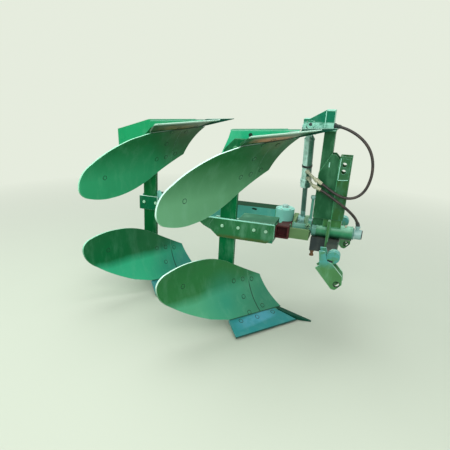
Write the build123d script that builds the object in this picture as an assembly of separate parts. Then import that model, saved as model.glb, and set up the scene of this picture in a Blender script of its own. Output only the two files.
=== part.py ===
from build123d import *
import math
import os

# Two-furrow reversible moldboard plough, with a half-turn headstock for a three-point linkage.
# Millimetres. X points forward, Y to the left, Z up. While the model is made, the turnover axis
# lies along X at y = 0, and the share points of the lower bodies touch z = 0.
# The upper pair of bodies is the lower pair mirrored about the height of the axis.

# Overall layout
AXIS_HEIGHT = 600.0          # turnover axis above the share points
BODY_PITCH = (-693.0, 313.0)  # rear body from front body, along X and Y
LANDSIDE_OFFSET = -50.0      # landside plane of the front body, from the axis

# Moldboard surface, in the body's own frame: landside plane at y = 0, sole at z = 0.
# Each level gives the height and the X of the surface at the landside and 600 mm out.
BOARD_LEVELS = ((0.0, 184.0, -226.0), (240.0, -54.0, -379.0), (490.0, -115.0, -376.0))
BOARD_SPAN = 600.0
BOARD_SHEET = 9.0            # thickness in the X-Z plane of an 8 mm sheet
FROG_SHEET = 12.0
SHIN_EDGE = 8.0              # how far the shin stands proud of the landside plane
JOINT_LINE = ((-348.0, 67.0), (-12.0, 48.0))   # top edge of the share, in Y and Z
SEAM_LINE = ((-148.0, 55.0), (-70.0, 309.0))   # shin to moldboard, in Y and Z
SEAM_GAP = 1.0

# Share and its point
SHARE_TOP = ((-144.0, -352.0, 66.0), (78.0, -43.0, 48.5))
SHARE_EDGE = ((-65.0, -440.0, 4.0), (232.0, -43.0, -4.0))
SHARE_THICK = 12.0
EDGE_THICK = 4.0
POINT_TIP_X = 315.0
POINT_DIP = 14.0             # how far the point's tip lies below the sole
POINT_SIDES = (-41.0, -2.0)

# Landside plate
LANDSIDE_THICK = 12.0
LANDSIDE_TOP = 171.0
SOLE_WIDTH = 52.0
SOLE_THICK = 8.0

# Legs
LEG_X = (-293.0, -194.0)
LEG_Y = (-165.0, -135.0)
STAY_RADIUS = 11.0

# Frame that turns over
CROSS_TUBE = 80.0            # square tube beside the hub
CROSS_X = (40.0, 120.0)
CROSS_Y = (-150.0, -104.0)
HUB_WEB_Z = (548.0, 597.0)   # low block that joins tube, hub and shaft
BEAM_HALF = 59.0             # half height of beams and cheeks
MAIN_BEAM_Y = (128.0, 238.0)
MAIN_BEAM_X = (-1010.0, 0.0)
FRONT_BEAM_X = (-185.0, 40.0)
FRONT_BEAM_Y = (-215.0, -40.0)
CHEEK_THICK = 15.0
TUBE_WALL = 8.0
SLEEVE_RADIUS = 60.0
SLEEVE_CENTRE = (41.0, 144.0)
SLEEVE_Z = (545.0, 672.0)
YOKE_X = (120.0, 234.0)
YOKE_Y = (-110.0, -94.0)
YOKE_Z = (556.0, 621.0)
SHAFT_RADIUS = 30.0
SHAFT_NECK_X = (131.0, 217.0)    # turned down where the rod's eye passes
SHAFT_NECK_RADIUS = 25.0
SHAFT_END = 482.0
JOURNAL_RADIUS = 15.0        # end of the shaft, inside the rotary union
SCREW_AT = (227.0, -42.0)
SCREW_TOP = 820.0

# Turnover cylinder, from its pin on the mast to its eye beside the crank
CRANK_RADIUS = 150.0
CYLINDER_X = 157.0
TOP_PIN_HEIGHT = 1203.0
TOP_PIN_RADIUS = 14.0
BARREL_RADIUS = 29.0
GLAND_RADIUS = 32.0
BARREL_END = 372.0           # from the top pin to the end of the gland
ROD_RADIUS = 15.0
EYE_RADIUS = 38.0
EYE_X = (-26.0, 14.0)        # from the cylinder's middle
RUN_CLEAR = 0.3              # between turning or sliding round faces

# Headstock
BEARING_X = (266.0, 474.0)
BEARING_RADIUS = 43.0
MAST_X = (240.0, 300.0)
MAST_HALF = 30.0
MAST_TOP = 1196.0
MAST_FOOT = 684.0            # lower edge of the side plates and the channel
BULKHEAD_TOP = 682.0
MAST_PLATE_Y = (30.0, 42.0)
BRACKET_BOSS = (160.0, 1228.0)   # round boss on the bracket's right side, in X and Z
CHANNEL_X = (345.0, 410.0)
CHANNEL_TOP = 1060.0
LINK_PLATE = 12.0
TOP_LINK_X = 373.0
TOP_LINK_HEIGHTS = (973.0, 1013.0)
TOP_LINK_BORE = 13.0         # radius, for a 25 mm pin
CROSS_BEAM_X = (345.0, 405.0)
CROSS_BEAM_Z = (497.0, 557.0)
LOWER_LINK_Y = 350.0         # middle of each lower clevis
LOWER_LINK_GAP = 52.0
LOWER_LINK_HOLE = (440.0, 424.0)
LOWER_LINK_BORE = 14.5       # radius, for a 28 mm pin
LOWER_LINK_SIDE = (
    (327.0, 603.0), (338.0, 520.0), (318.0, 502.0), (414.0, 392.0), (435.0, 388.0),
    (468.0, 426.0), (462.0, 474.0), (400.0, 541.0), (376.0, 549.0), (358.0, 603.0),
)
LINK_BUSH = (403.0, 570.0, 34.0)   # X, Z and radius of the tube between the plates

# Hydraulic hoses, from the pipes at the cylinder: one down to the union on the shaft's end,
# one in a loop up to the top of the mast
HOSE_RADIUS = 8.0
UNION_HOSE = (
    (240.0, -72.0, 876.0), (276.0, -72.0, 859.0), (325.0, -75.0, 831.0), (377.0, -75.0, 798.0),
    (426.0, -68.0, 763.0), (463.0, -51.0, 727.0), (487.0, -25.0, 690.0), (498.0, 0.0, 654.0),
)
LOOP_HOSE = (
    (244.0, -72.0, 914.0), (279.0, -72.0, 894.0), (325.0, -75.0, 863.0), (375.0, -74.0, 837.0),
    (418.0, -69.0, 828.0), (453.0, -63.0, 834.0), (482.0, -57.0, 852.0), (505.0, -51.0, 883.0),
    (520.0, -44.0, 931.0), (525.0, -38.0, 987.0), (516.0, -33.0, 1049.0), (493.0, -28.0, 1104.0),
    (456.0, -22.0, 1149.0), (410.0, -15.0, 1183.0), (361.0, -8.0, 1206.0), (322.0, -2.0, 1217.0),
    (296.0, 0.0, 1221.0),
)
PIPE_GAP = 0.3               # between a pipe's end, which swings, and the hose's end


def block(xs, ys, zs):
    """A rectangular block between the given limits."""
    size = Box(xs[1] - xs[0], ys[1] - ys[0], zs[1] - zs[0], align=(Align.MIN, Align.MIN, Align.MIN))
    return Pos(xs[0], ys[0], zs[0]) * size


def tube_box(xs, ys, zs, wall, along):
    """A rectangular hollow section whose ends are open along one axis."""
    limits = [list(xs), list(ys), list(zs)]
    for axis in range(3):
        if axis != along:
            limits[axis] = [limits[axis][0] + wall, limits[axis][1] - wall]
    return block(xs, ys, zs) - block(*limits)


def plate_xz(points, ys):
    """A plate with its outline in X and Z, between two values of Y."""
    outline = Polyline([(x, ys[0], z) for x, z in points], close=True)
    return extrude(make_face(outline), amount=ys[1] - ys[0], dir=(0, 1, 0))


def round_x(x0, x1, y, z, radius):
    """A cylinder along X."""
    return Pos((x0 + x1) / 2, y, z) * Rot(0, 90, 0) * Cylinder(radius, x1 - x0)


def round_y(y0, y1, x, z, radius):
    """A cylinder along Y."""
    return Pos(x, (y0 + y1) / 2, z) * Rot(90, 0, 0) * Cylinder(radius, y1 - y0)


def round_z(z0, z1, x, y, radius):
    """A cylinder along Z."""
    return Pos(x, y, (z0 + z1) / 2) * Cylinder(radius, z1 - z0)


def circle_through(a, b, c):
    """Centre and radius of the circle through three points in a plane."""
    d = 2 * (a[0] * (b[1] - c[1]) + b[0] * (c[1] - a[1]) + c[0] * (a[1] - b[1]))
    sa = a[0] ** 2 + a[1] ** 2
    sb = b[0] ** 2 + b[1] ** 2
    sc = c[0] ** 2 + c[1] ** 2
    u = (sa * (b[1] - c[1]) + sb * (c[1] - a[1]) + sc * (a[1] - b[1])) / d
    v = (sa * (c[0] - b[0]) + sb * (a[0] - c[0]) + sc * (b[0] - a[0])) / d
    return u, v, math.hypot(a[0] - u, a[1] - v)


def board_arc(y, behind):
    """Low, middle and high point of the board's profile at y, moved back by behind."""
    points = []
    for height, x_land, x_out in BOARD_LEVELS:
        points.append((x_land + (x_out - x_land) * (-y / BOARD_SPAN), height))
    u, v, radius = circle_through(*points)
    radius += behind
    arc = []
    for z in (-30.0, 235.0, 505.0):
        arc.append((u - math.sqrt(radius ** 2 - (z - v) ** 2), y, z))
    return arc


def board_layer(behind, thick):
    """The whole curved sheet, before it is trimmed: a ruled sheet between two arcs."""
    faces = []
    for y in (80.0, -820.0):
        front = board_arc(y, behind)
        back = board_arc(y, behind + thick)
        edges = [
            ThreePointArc(*front),
            Line(front[2], back[2]),
            ThreePointArc(back[2], back[1], back[0]),
            Line(back[0], front[0]),
        ]
        faces.append(make_face(edges).face())
    return loft(faces, ruled=True)


def behind_board(behind):
    """All the space behind a layer of the board, down to the sole."""
    faces = []
    for y in (80.0, -820.0):
        front = board_arc(y, behind)
        low_back = (-1300.0, y, -30.0)
        high_back = (-1300.0, y, 505.0)
        edges = [
            ThreePointArc(*front),
            Line(front[2], high_back),
            Line(high_back, low_back),
            Line(low_back, front[0]),
        ]
        faces.append(make_face(edges).face())
    return loft(faces, ruled=True)


def prism_x(edges):
    """A prism along X over an outline in Y and Z, longer than any body."""
    return extrude(make_face(edges), amount=1800, dir=(1, 0, 0))


def at_back(y, z):
    """A point of an outline in the plane where the prisms start."""
    return (-1200.0, y, z)


def joint_height(y):
    """Height of the share's top edge at y."""
    (y0, z0), (y1, z1) = JOINT_LINE
    return z0 + (z1 - z0) * (y - y0) / (y1 - y0)


def board_outline():
    """Outline of moldboard and shin together, seen from the front."""
    shin_foot = at_back(SHIN_EDGE - 6, joint_height(0) + SEAM_GAP)
    shin_top = at_back(SHIN_EDGE + 2, 252)
    crest_start = at_back(-230, 405)
    crest_end = at_back(-525, 485)
    shoulder = at_back(-700, 459)
    tail = at_back(-738, 388)
    wing = at_back(-652, 243)
    wing_foot = at_back(-455, 103)
    joint_end = at_back(-348, joint_height(-348) + SEAM_GAP)
    return [
        Line(shin_foot, shin_top),
        Line(shin_top, crest_start),
        ThreePointArc(crest_start, at_back(-379, 464), crest_end),
        ThreePointArc(crest_end, at_back(-618, 481), shoulder),
        ThreePointArc(shoulder, at_back(-731, 428), tail),
        ThreePointArc(tail, at_back(-714, 312), wing),
        ThreePointArc(wing, at_back(-560, 167), wing_foot),
        Line(wing_foot, joint_end),
        Line(joint_end, shin_foot),
    ]


def seam_side(side):
    """The half-space on the shin side (+1) or the moldboard side (-1) of the seam."""
    (y0, z0), (y1, z1) = SEAM_LINE
    slope = (y1 - y0) / (z1 - z0)
    low = (y0 + slope * (-40 - z0) + side * SEAM_GAP / 2, -40.0)
    high = (y0 + slope * (540 - z0) + side * SEAM_GAP / 2, 540.0)
    far = 900.0 * side
    corners = [at_back(*low), at_back(*high), at_back(far, 540.0), at_back(far, -40.0)]
    return prism_x(Polyline(corners, close=True))


def share_plate():
    """The share: a plate that thins to its cutting edge."""
    top_back = (-4.0, 2.0, -SHARE_THICK)
    edge_back = (-3.0, 2.0, -EDGE_THICK)
    faces = []
    for (a, b), back in ((SHARE_TOP, top_back), (SHARE_EDGE, edge_back)):
        a_back = tuple(p + q for p, q in zip(a, back))
        b_back = tuple(p + q for p, q in zip(b, back))
        faces.append(make_face(Polyline([a, b, b_back, a_back], close=True)).face())
    return loft(faces, ruled=True)


def share_point():
    """The bar point along the landside, which ends in the tip."""
    side = [(40, 16), (116, 16), (122, -4), (POINT_TIP_X, -POINT_DIP), (POINT_TIP_X, 4 - POINT_DIP)]
    side += [(96, 47), (40, 47)]
    bar = plate_xz(side, POINT_SIDES)
    right, left = POINT_SIDES
    tip = POINT_TIP_X + 5
    plan = [(30, right, -25), (180, right, -25), (tip, left - 14, -25), (tip, left, -25), (30, left, -25)]
    return bar & extrude(make_face(Polyline(plan, close=True)), amount=100, dir=(0, 0, 1))


def landside_plate(behind, behind_frog, row):
    """The plate that runs along the furrow wall, with its sole and an inner web."""
    front = [(39, 1), (39, 49), (90, 49), (90, 60), (0, LANDSIDE_TOP), (-355, LANDSIDE_TOP)]
    sole = [(-292, 19), (114, 1), (108, 1 + SOLE_THICK), (-292, 19 + SOLE_THICK)]
    web = [(-288, 24), (60, 8), (60, 118), (-316, 118)]
    if row == 0:
        plate = plate_xz([(-292, 19)] + front, (-LANDSIDE_THICK, 0))
    else:
        long_side = [(-326, 17)] + front + [(-574, 217), (-578, 95)]
        plate = plate_xz(long_side, (-60, 60)) & folded_strip()
    plate += plate_xz(sole, (-SOLE_WIDTH, 0))
    plate += plate_xz(web, (-SOLE_WIDTH - 6, -SOLE_WIDTH)) & behind_frog
    return plate & behind


def folded_strip():
    """A strip as thick as the landside, bent inwards near its back end."""
    t = LANDSIDE_THICK
    plan = [(100, 0), (-519, 0), (-590, -17), (-590, -17 - t), (-519, -t), (100, -t)]
    face = make_face(Polyline([(x, y, -20) for x, y in plan], close=True))
    return extrude(face, amount=260, dir=(0, 0, 1))


def frog_plate(frog_layer, share):
    """The curved plate that carries moldboard and share, behind both."""
    corners = [(-LANDSIDE_THICK, 32), (-LANDSIDE_THICK, 236), (-110, 268), (-215, 290), (-215, 60), (-190, 40)]
    window = prism_x(Polyline([at_back(y, z) for y, z in corners], close=True))
    return (frog_layer & window) - share - share_point()


def leg_half(behind_frog):
    """The lower half of a leg, down to its foot against the frog."""
    x0, x1 = LEG_X
    upright = block(LEG_X, LEG_Y, (250, AXIS_HEIGHT))
    foot_outline = [(x0, 260), (x0, 120), (x0 + 60, 55), (90, 55), (90, 235), (x1, 330), (x1, 340), (x0, 340)]
    foot = plate_xz(foot_outline, LEG_Y) & behind_frog
    return upright + foot


def stay_bar(leg, behind):
    """The round stay from the leg to the back of the moldboard's tail."""
    start = Vector(-243, LEG_Y[0] + 10, 336)
    end = Vector(-352, -575, 352)
    way = (end - start).normalized()
    length = (end - start).length + 30
    rod = Cylinder(STAY_RADIUS, length, align=(Align.CENTER, Align.CENTER, Align.MIN))
    bar = Plane(origin=start, z_dir=way) * rod
    return (bar - leg) & behind


def both_halves(lower):
    """A shape and its mirror image about the turnover axis, as one."""
    return lower + mirror_up(lower)


def mirror_up(shape):
    """The mirror image about the height of the axis."""
    return shape.mirror(Plane.XY.offset(AXIS_HEIGHT))


def body_place(row):
    """Where a body's own frame goes: row 0 is the front one, row 1 the rear one."""
    return Pos(BODY_PITCH[0] * row, LANDSIDE_OFFSET + BODY_PITCH[1] * row, 0)


def plough_bodies(nodes):
    """Shares, points, shins, moldboards, frogs and landsides, four of each, and two legs."""
    outline = prism_x(board_outline())
    sheet = board_layer(0, BOARD_SHEET) & outline
    behind = behind_board(BOARD_SHEET)
    share = share_plate()
    leg = leg_half(behind_board(BOARD_SHEET + FROG_SHEET))
    behind_frog = behind_board(BOARD_SHEET + FROG_SHEET)
    frog = frog_plate(board_layer(BOARD_SHEET, FROG_SHEET), share)
    pieces = {
        "moldboard": sheet & seam_side(-1),
        "shin": sheet & seam_side(1),
        "share": share,
        "share_point": share_point(),
        "frog": frog - landside_plate(behind, behind_frog, 0),
        "stay": stay_bar(leg, behind),
    }
    for row, row_name in ((0, "front"), (1, "rear")):
        place = body_place(row)
        pieces["landside"] = landside_plate(behind, behind_frog, row)
        for name, piece in pieces.items():
            nodes[f"{name}_{row_name}_lower"] = place * piece
            nodes[f"{name}_{row_name}_upper"] = mirror_up(place * piece)
        nodes[f"leg_{row_name}"] = both_halves(place * leg)


def turning_frame(nodes):
    """The beams, cheeks, cross tube, hub and crank that turn over with the bodies."""
    low, high = AXIS_HEIGHT - BEAM_HALF, AXIS_HEIGHT + BEAM_HALF
    tube_low, tube_high = AXIS_HEIGHT - CROSS_TUBE / 2, AXIS_HEIGHT + CROSS_TUBE / 2
    sleeve = round_z(*SLEEVE_Z, *SLEEVE_CENTRE, SLEEVE_RADIUS)
    tube = tube_box(CROSS_X, CROSS_Y, (tube_low, tube_high), TUBE_WALL, 1)
    closing = block(CROSS_X, (CROSS_Y[1], CROSS_Y[1] + 12), (tube_low, tube_high))
    hub_web = block(CROSS_X, (CROSS_Y[1] + 12, 120), HUB_WEB_Z)
    nodes["cross_tube"] = tube + closing + (hub_web - sleeve)
    nodes["pivot_sleeve"] = sleeve
    beam = capped_beam((MAIN_BEAM_X[0], 20), MAIN_BEAM_Y, (low, high))
    nodes["main_beam"] = beam - sleeve
    front = capped_beam(FRONT_BEAM_X, FRONT_BEAM_Y, (low, high))
    nodes["front_beam"] = front
    near = FRONT_BEAM_Y[0]
    cheek = [(-359, 616), (-330, high), (48, high), (48, 575), (6, low), (-300, low), (-345, 580)]
    short_cheek = [(-359, 616), (-330, high), (-185, high), (-185, low), (-300, low), (-345, 580)]
    nodes["cheek_right"] = plate_xz(cheek, (near - CHEEK_THICK, near))
    nodes["cheek_left"] = plate_xz(short_cheek, (near + 30, near + 30 + CHEEK_THICK))
    shift_x, shift_y = BODY_PITCH
    clamp_near = (LEG_Y[0] + LANDSIDE_OFFSET + shift_y - CHEEK_THICK, LEG_Y[0] + LANDSIDE_OFFSET + shift_y)
    nodes["clamp_plate_rear"] = block((-1015, -872), clamp_near, (555, 655))
    yoke = block(YOKE_X, YOKE_Y, YOKE_Z)
    yoke += block(YOKE_X, (YOKE_Y[1], 0), (AXIS_HEIGHT - 42, AXIS_HEIGHT - 3))
    shaft = round_x(CROSS_X[1], SHAFT_END, 0, AXIS_HEIGHT, SHAFT_RADIUS)
    neck = round_x(*SHAFT_NECK_X, 0, AXIS_HEIGHT, SHAFT_RADIUS + 5)
    shaft -= neck - round_x(*SHAFT_NECK_X, 0, AXIS_HEIGHT, SHAFT_NECK_RADIUS)
    nodes["yoke_block"] = yoke - shaft
    shaft += round_x(BEARING_X[1] + 1, SHAFT_END, 0, AXIS_HEIGHT, SHAFT_RADIUS + 6)
    shaft += round_x(BEARING_X[0] - 26, BEARING_X[0] - 1, 0, AXIS_HEIGHT, BEARING_RADIUS)
    shaft += round_x(SHAFT_END, SHAFT_END + 22, 0, AXIS_HEIGHT, JOURNAL_RADIUS)
    nodes["turnover_shaft"] = shaft
    nodes["stop_screw"] = stop_screw(shaft)
    web_x = (CROSS_X[1], 130)
    web = block(web_x, (0, CRANK_RADIUS), (AXIS_HEIGHT - 34, AXIS_HEIGHT + 34))
    boss = round_x(104, 130, CRANK_RADIUS, AXIS_HEIGHT, 44)
    nodes["crank_arm"] = web + boss - shaft - sleeve - block(CROSS_X, (0, 130), HUB_WEB_Z)


def stop_screw(shaft):
    """The upright screw on a lug of the shaft, which sets how far the frame turns."""
    x, y = SCREW_AT
    lug = block((218, 236), (y - 16, 12), (AXIS_HEIGHT + 8, AXIS_HEIGHT + 64)) - shaft
    screw = round_z(AXIS_HEIGHT + 60, SCREW_TOP, x, y, 8)
    head = round_z(SCREW_TOP - 22, SCREW_TOP, x, y, 12)
    nut = round_z(AXIS_HEIGHT + 64, AXIS_HEIGHT + 78, x, y, 12)
    return lug + screw + head + nut


def capped_beam(xs, ys, zs):
    """A rectangular hollow section along X with both ends closed."""
    inside = [(low + TUBE_WALL, high - TUBE_WALL) for low, high in (xs, ys, zs)]
    return block(xs, ys, zs) - block(*inside)


def cylinder_turn():
    """How far the cylinder leans from upright at rest, in degrees, and its length."""
    drop = TOP_PIN_HEIGHT - AXIS_HEIGHT
    return math.degrees(math.atan2(CRANK_RADIUS, drop)), math.hypot(CRANK_RADIUS, drop)


def turnover_cylinder(nodes):
    """Barrel and rod, made upright under the top pin and then leant to the crank."""
    lean, length = cylinder_turn()
    pivot = Pos(CYLINDER_X, 0, TOP_PIN_HEIGHT)
    swing = pivot * Rot(lean, 0, 0)
    head_eye = round_x(-20, 20, 0, 0, 30)
    barrel = round_z(-BARREL_END, -62, 0, 0, BARREL_RADIUS)
    barrel += Pos(0, 0, -62) * Cone(BARREL_RADIUS, 19, 18, align=(Align.CENTER, Align.CENTER, Align.MIN))
    barrel += round_z(-BARREL_END, 36 - BARREL_END, 0, 0, GLAND_RADIUS)
    neck = block((-15, 15), (-18, 18), (-60, 0))
    pin_bore = round_x(-60, 60, 0, 0, TOP_PIN_RADIUS + RUN_CLEAR)
    rod_bore = round_z(-BARREL_END - 5, -60, 0, 0, ROD_RADIUS + RUN_CLEAR)
    nodes["cylinder_barrel"] = swing * (head_eye + barrel + neck - pin_bore - rod_bore)
    solid_gland = round_z(-BARREL_END, -62, 0, 0, GLAND_RADIUS - 2)
    nodes["port_pipes"] = port_pipes() - nodes["cylinder_barrel"] - swing * solid_gland
    rod = round_z(-length + EYE_RADIUS - 8, -BARREL_END + 60, 0, 0, ROD_RADIUS)
    eye = round_x(*EYE_X, 0, -length, EYE_RADIUS)
    pin = round_x(EYE_X[0], 59, 0, -length, 18)
    nodes["cylinder_rod"] = swing * (rod + eye - pin)
    nut = round_x(EYE_X[1] + 3, 58, 0, -length, 38) - pin
    nodes["eye_pin"] = swing * (pin + nut)


def straight_bar(start, end, radius):
    """A round bar from one point to another."""
    way = Vector(*end) - Vector(*start)
    bar = Cylinder(radius, way.length, align=(Align.CENTER, Align.CENTER, Align.MIN))
    return Plane(origin=start, z_dir=way.normalized()) * bar


def port_pipes():
    """The two short pipes at the cylinder's gland, each with its ferrule where a hose begins."""
    pipes = Part()
    for hose, start in ((LOOP_HOSE, (150, 66, 948)), (UNION_HOSE, (160, 80, 905))):
        back = (Vector(*hose[0]) - Vector(*hose[1])).normalized()
        end = Vector(*hose[0]) + back * PIPE_GAP
        bend = end + back * 26
        pipes += straight_bar(start, tuple(bend), 8)
        pipes += Pos(*bend) * Sphere(8)
        pipes += straight_bar(tuple(bend), tuple(end), 10.5)
    return pipes


def hose_tube(route):
    """A hose along straight runs joined by large tangent arcs."""
    corners = [Vector(*p) for p in route]
    radii = []
    for a, b, c in zip(corners, corners[1:], corners[2:]):
        turn = math.radians((b - a).get_angle(c - b))
        shorter = min((b - a).length, (c - b).length)
        radii.append(0.45 * shorter / math.tan(turn / 2))
    path = FilletPolyline(*route, radius=radii)
    tube = sweep(Plane(origin=route[0], z_dir=path % 0) * Circle(HOSE_RADIUS), path=path)
    volume = math.pi * HOSE_RADIUS ** 2 * path.length
    print("hose length", round(path.length, 1), "least radius", round(min(radii), 1),
          "volume ratio", round(tube.volume / volume, 4))
    return tube


def headstock(nodes):
    """The part that stays with the tractor: bearing, mast and the linkage clevises."""
    bore = round_x(200, 600, 0, AXIS_HEIGHT, SHAFT_RADIUS + RUN_CLEAR)
    bearing_solid = round_x(*BEARING_X, 0, AXIS_HEIGHT, BEARING_RADIUS)
    nodes["bearing_tube"] = bearing_solid - bore
    inner, outer = MAST_PLATE_Y
    foot_box = block((MAST_X[1], CHANNEL_X[1] - 6), (-inner, inner), (AXIS_HEIGHT + 36, MAST_FOOT))
    bulkhead = block((330, 345), (-75, 75), (497, BULKHEAD_TOP)) + foot_box - bearing_solid
    nodes["bulkhead"] = bulkhead
    bar = tube_box(MAST_X, (-MAST_HALF, MAST_HALF), (638, MAST_TOP), TUBE_WALL, 2)
    ring_room = round_x(230, BEARING_X[0], 0, AXIS_HEIGHT, BEARING_RADIUS + 3)
    nodes["mast_bar"] = bar - bearing_solid - ring_room
    side = [(MAST_X[0], MAST_FOOT), (345, MAST_FOOT), (345, 1040), (318, 1068), (300, 1068)]
    side += [(MAST_X[0], 960)]
    plates = plate_xz(side, (-outer, -inner)) + plate_xz(side, (inner, outer))
    nodes["mast_plates"] = plates - bearing_solid - bulkhead - ring_room
    nodes["top_link_channel"] = top_link_channel(bearing_solid)
    nodes["top_bracket"] = top_bracket()
    nodes["top_pin"] = round_x(112, 199, 0, TOP_PIN_HEIGHT, TOP_PIN_RADIUS)
    nodes["cross_beam"] = cross_beam()
    stop = block((242, 330), (-50, 50), (475, 560)) - round_x(200, 340, 0, AXIS_HEIGHT, BEARING_RADIUS + 2)
    stop += block((256, 330), (-16, 16), (550, 570)) - round_x(200, 340, 0, AXIS_HEIGHT, BEARING_RADIUS)
    nodes["stop_box"] = (stop - block((200, 266), (-20, 20), (550, 600))) - bearing_solid
    nodes["hose_union"] = hose_tube(UNION_HOSE)
    nodes["hose_loop"] = hose_tube(LOOP_HOSE)
    nodes["rotary_union"] = rotary_union() - nodes["hose_union"]
    fitting = straight_bar((272, 0, 1225), LOOP_HOSE[-1], 11)
    nodes["loop_fitting"] = fitting - nodes["top_bracket"] - block((270, 285), (-20, 20), (1200, 1260))
    nodes["loop_fitting"] = nodes["loop_fitting"] - nodes["hose_loop"]
    for name, side_sign in (("right", -1), ("left", 1)):
        nodes[f"lower_link_{name}"] = lower_link(side_sign)


def rotary_union():
    """The still cap on the shaft's end that lets oil into the turning frame."""
    start = SHAFT_END + 1.5
    body = round_x(start, start + 40, 0, AXIS_HEIGHT, SHAFT_RADIUS)
    body -= round_x(start - 1, SHAFT_END + 22.5, 0, AXIS_HEIGHT, JOURNAL_RADIUS + RUN_CLEAR)
    x, y, z = UNION_HOSE[-1]
    return body + (round_z(AXIS_HEIGHT + 20, z, x, y, 11) - round_x(start - 1, start + 22, 0, AXIS_HEIGHT, 22))


def top_link_channel(bearing_solid):
    """A channel that opens forward, with two holes for the top link's pin in each flange."""
    x0, x1 = CHANNEL_X
    inner, outer = MAST_PLATE_Y
    channel = block((x0, x1), (-outer, outer), (MAST_FOOT, CHANNEL_TOP))
    channel -= block((x0 + LINK_PLATE, x1 + 1), (-inner, inner), (MAST_FOOT - 1, CHANNEL_TOP + 1))
    for height in TOP_LINK_HEIGHTS:
        channel -= round_y(-outer - 5, outer + 5, TOP_LINK_X, height, TOP_LINK_BORE)
    return channel - bearing_solid


def top_bracket():
    """The overhung box on the mast that holds the cylinder's pin between two lugs."""
    outline = [
        (119, 1172), (136, 1172), (136, 1246), (178, 1246), (178, 1172), (195, 1172),
        (195, MAST_TOP), (300, MAST_TOP), (300, 1206), (285, 1206), (285, 1308), (237, 1308),
        (150, 1256), (119, 1256),
    ]
    solid = plate_xz(outline, (-36, 36))
    pocket = plate_xz([(205, 1204), (277, 1204), (277, 1298), (240, 1298), (205, 1277)], (-27, 27))
    boss = round_y(-46, -36, *BRACKET_BOSS, 23) - round_y(-47, -36, *BRACKET_BOSS, 9)
    return solid + boss - pocket - round_x(100, 200, 0, TOP_PIN_HEIGHT, TOP_PIN_RADIUS)


def cross_beam():
    """The square beam under the bearing, between the outer clevis plates."""
    reach = LOWER_LINK_Y + LOWER_LINK_GAP / 2
    xs, zs = CROSS_BEAM_X, CROSS_BEAM_Z
    inside = block((xs[0] + 8, xs[1] - 8), (8 - reach, reach - 8), (zs[0] + 8, zs[1] - 8))
    return block(xs, (-reach, reach), zs) - inside


def lower_link(side_sign):
    """A pair of plates with the hole for the lower link's pin, and a tube between them."""
    hole_x, hole_z = LOWER_LINK_HOLE
    middle = LOWER_LINK_Y * side_sign
    plates = Part()
    for step in (-1, 1):
        inner_face = middle + step * LOWER_LINK_GAP / 2
        ys = sorted((inner_face, inner_face + step * LINK_PLATE))
        plate = plate_xz(LOWER_LINK_SIDE, ys)
        corners = [edge for edge in plate.edges().filter_by(Axis.Y) if edge.center().Z < 480 and edge.center().X > 400]
        plate = fillet(corners, 12)
        plates += plate - round_y(ys[0] - 1, ys[1] + 1, hole_x, hole_z, LOWER_LINK_BORE)
    bush_x, bush_z, bush_radius = LINK_BUSH
    half_gap = LOWER_LINK_GAP / 2
    plates += round_y(middle - half_gap, middle + half_gap, bush_x, bush_z, bush_radius)
    reach = LOWER_LINK_Y + LOWER_LINK_GAP / 2
    return plates - block(CROSS_BEAM_X, (-reach, reach), CROSS_BEAM_Z)


def build():
    """All the nodes in the frame of the turnover axis."""
    nodes = {}
    plough_bodies(nodes)
    turning_frame(nodes)
    turnover_cylinder(nodes)
    headstock(nodes)
    return nodes


def origin_shift(nodes):
    """The move that puts the origin under the middle of the plough, its hoses left out."""
    boxes = [shape.bounding_box() for name, shape in nodes.items() if not name.startswith("hose_")]
    x_mid = (min(b.min.X for b in boxes) + max(b.max.X for b in boxes)) / 2
    y_mid = (min(b.min.Y for b in boxes) + max(b.max.Y for b in boxes)) / 2
    z_low = min(b.min.Z for b in boxes)
    return Pos(-x_mid, -y_mid, -z_low)


nodes = build()
shift = origin_shift(nodes)
os.makedirs("parts", exist_ok=True)
for name, shape in nodes.items():
    export_step(shift * shape, f"parts/{name}.step")
whole = [shape.bounding_box() for shape in nodes.values()]
size = [max(getattr(b.max, k) for b in whole) - min(getattr(b.min, k) for b in whole) for k in "XYZ"]
print("size", [round(v, 1) for v in size])
print("nodes", len(nodes), "origin shift", shift.position, "cylinder lean and length", cylinder_turn())
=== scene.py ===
import math
import random

import bmesh
import bpy
from mathutils import Matrix, Vector
from mathutils.bvhtree import BVHTree


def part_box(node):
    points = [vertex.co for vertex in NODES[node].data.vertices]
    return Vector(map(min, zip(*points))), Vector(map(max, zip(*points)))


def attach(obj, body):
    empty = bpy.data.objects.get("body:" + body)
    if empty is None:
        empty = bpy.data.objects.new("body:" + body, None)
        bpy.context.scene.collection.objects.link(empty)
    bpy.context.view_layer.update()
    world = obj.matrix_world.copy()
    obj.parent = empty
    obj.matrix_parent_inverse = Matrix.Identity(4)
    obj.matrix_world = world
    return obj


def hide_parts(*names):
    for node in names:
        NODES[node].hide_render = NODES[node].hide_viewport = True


# A two-furrow reversible moldboard plough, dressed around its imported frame.
# Positions are written in millimetres: x forward and y to the left of the turnover axis,
# z above the soles, with the axis at z = 600. The upper bodies mirror the lower ones.

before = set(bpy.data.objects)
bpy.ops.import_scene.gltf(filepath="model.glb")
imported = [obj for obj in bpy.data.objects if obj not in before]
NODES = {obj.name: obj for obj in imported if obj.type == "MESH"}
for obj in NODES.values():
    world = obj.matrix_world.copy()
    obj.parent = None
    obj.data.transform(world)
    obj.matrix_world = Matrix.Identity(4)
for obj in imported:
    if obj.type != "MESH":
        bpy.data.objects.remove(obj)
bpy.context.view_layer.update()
random.seed(7)

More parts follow.
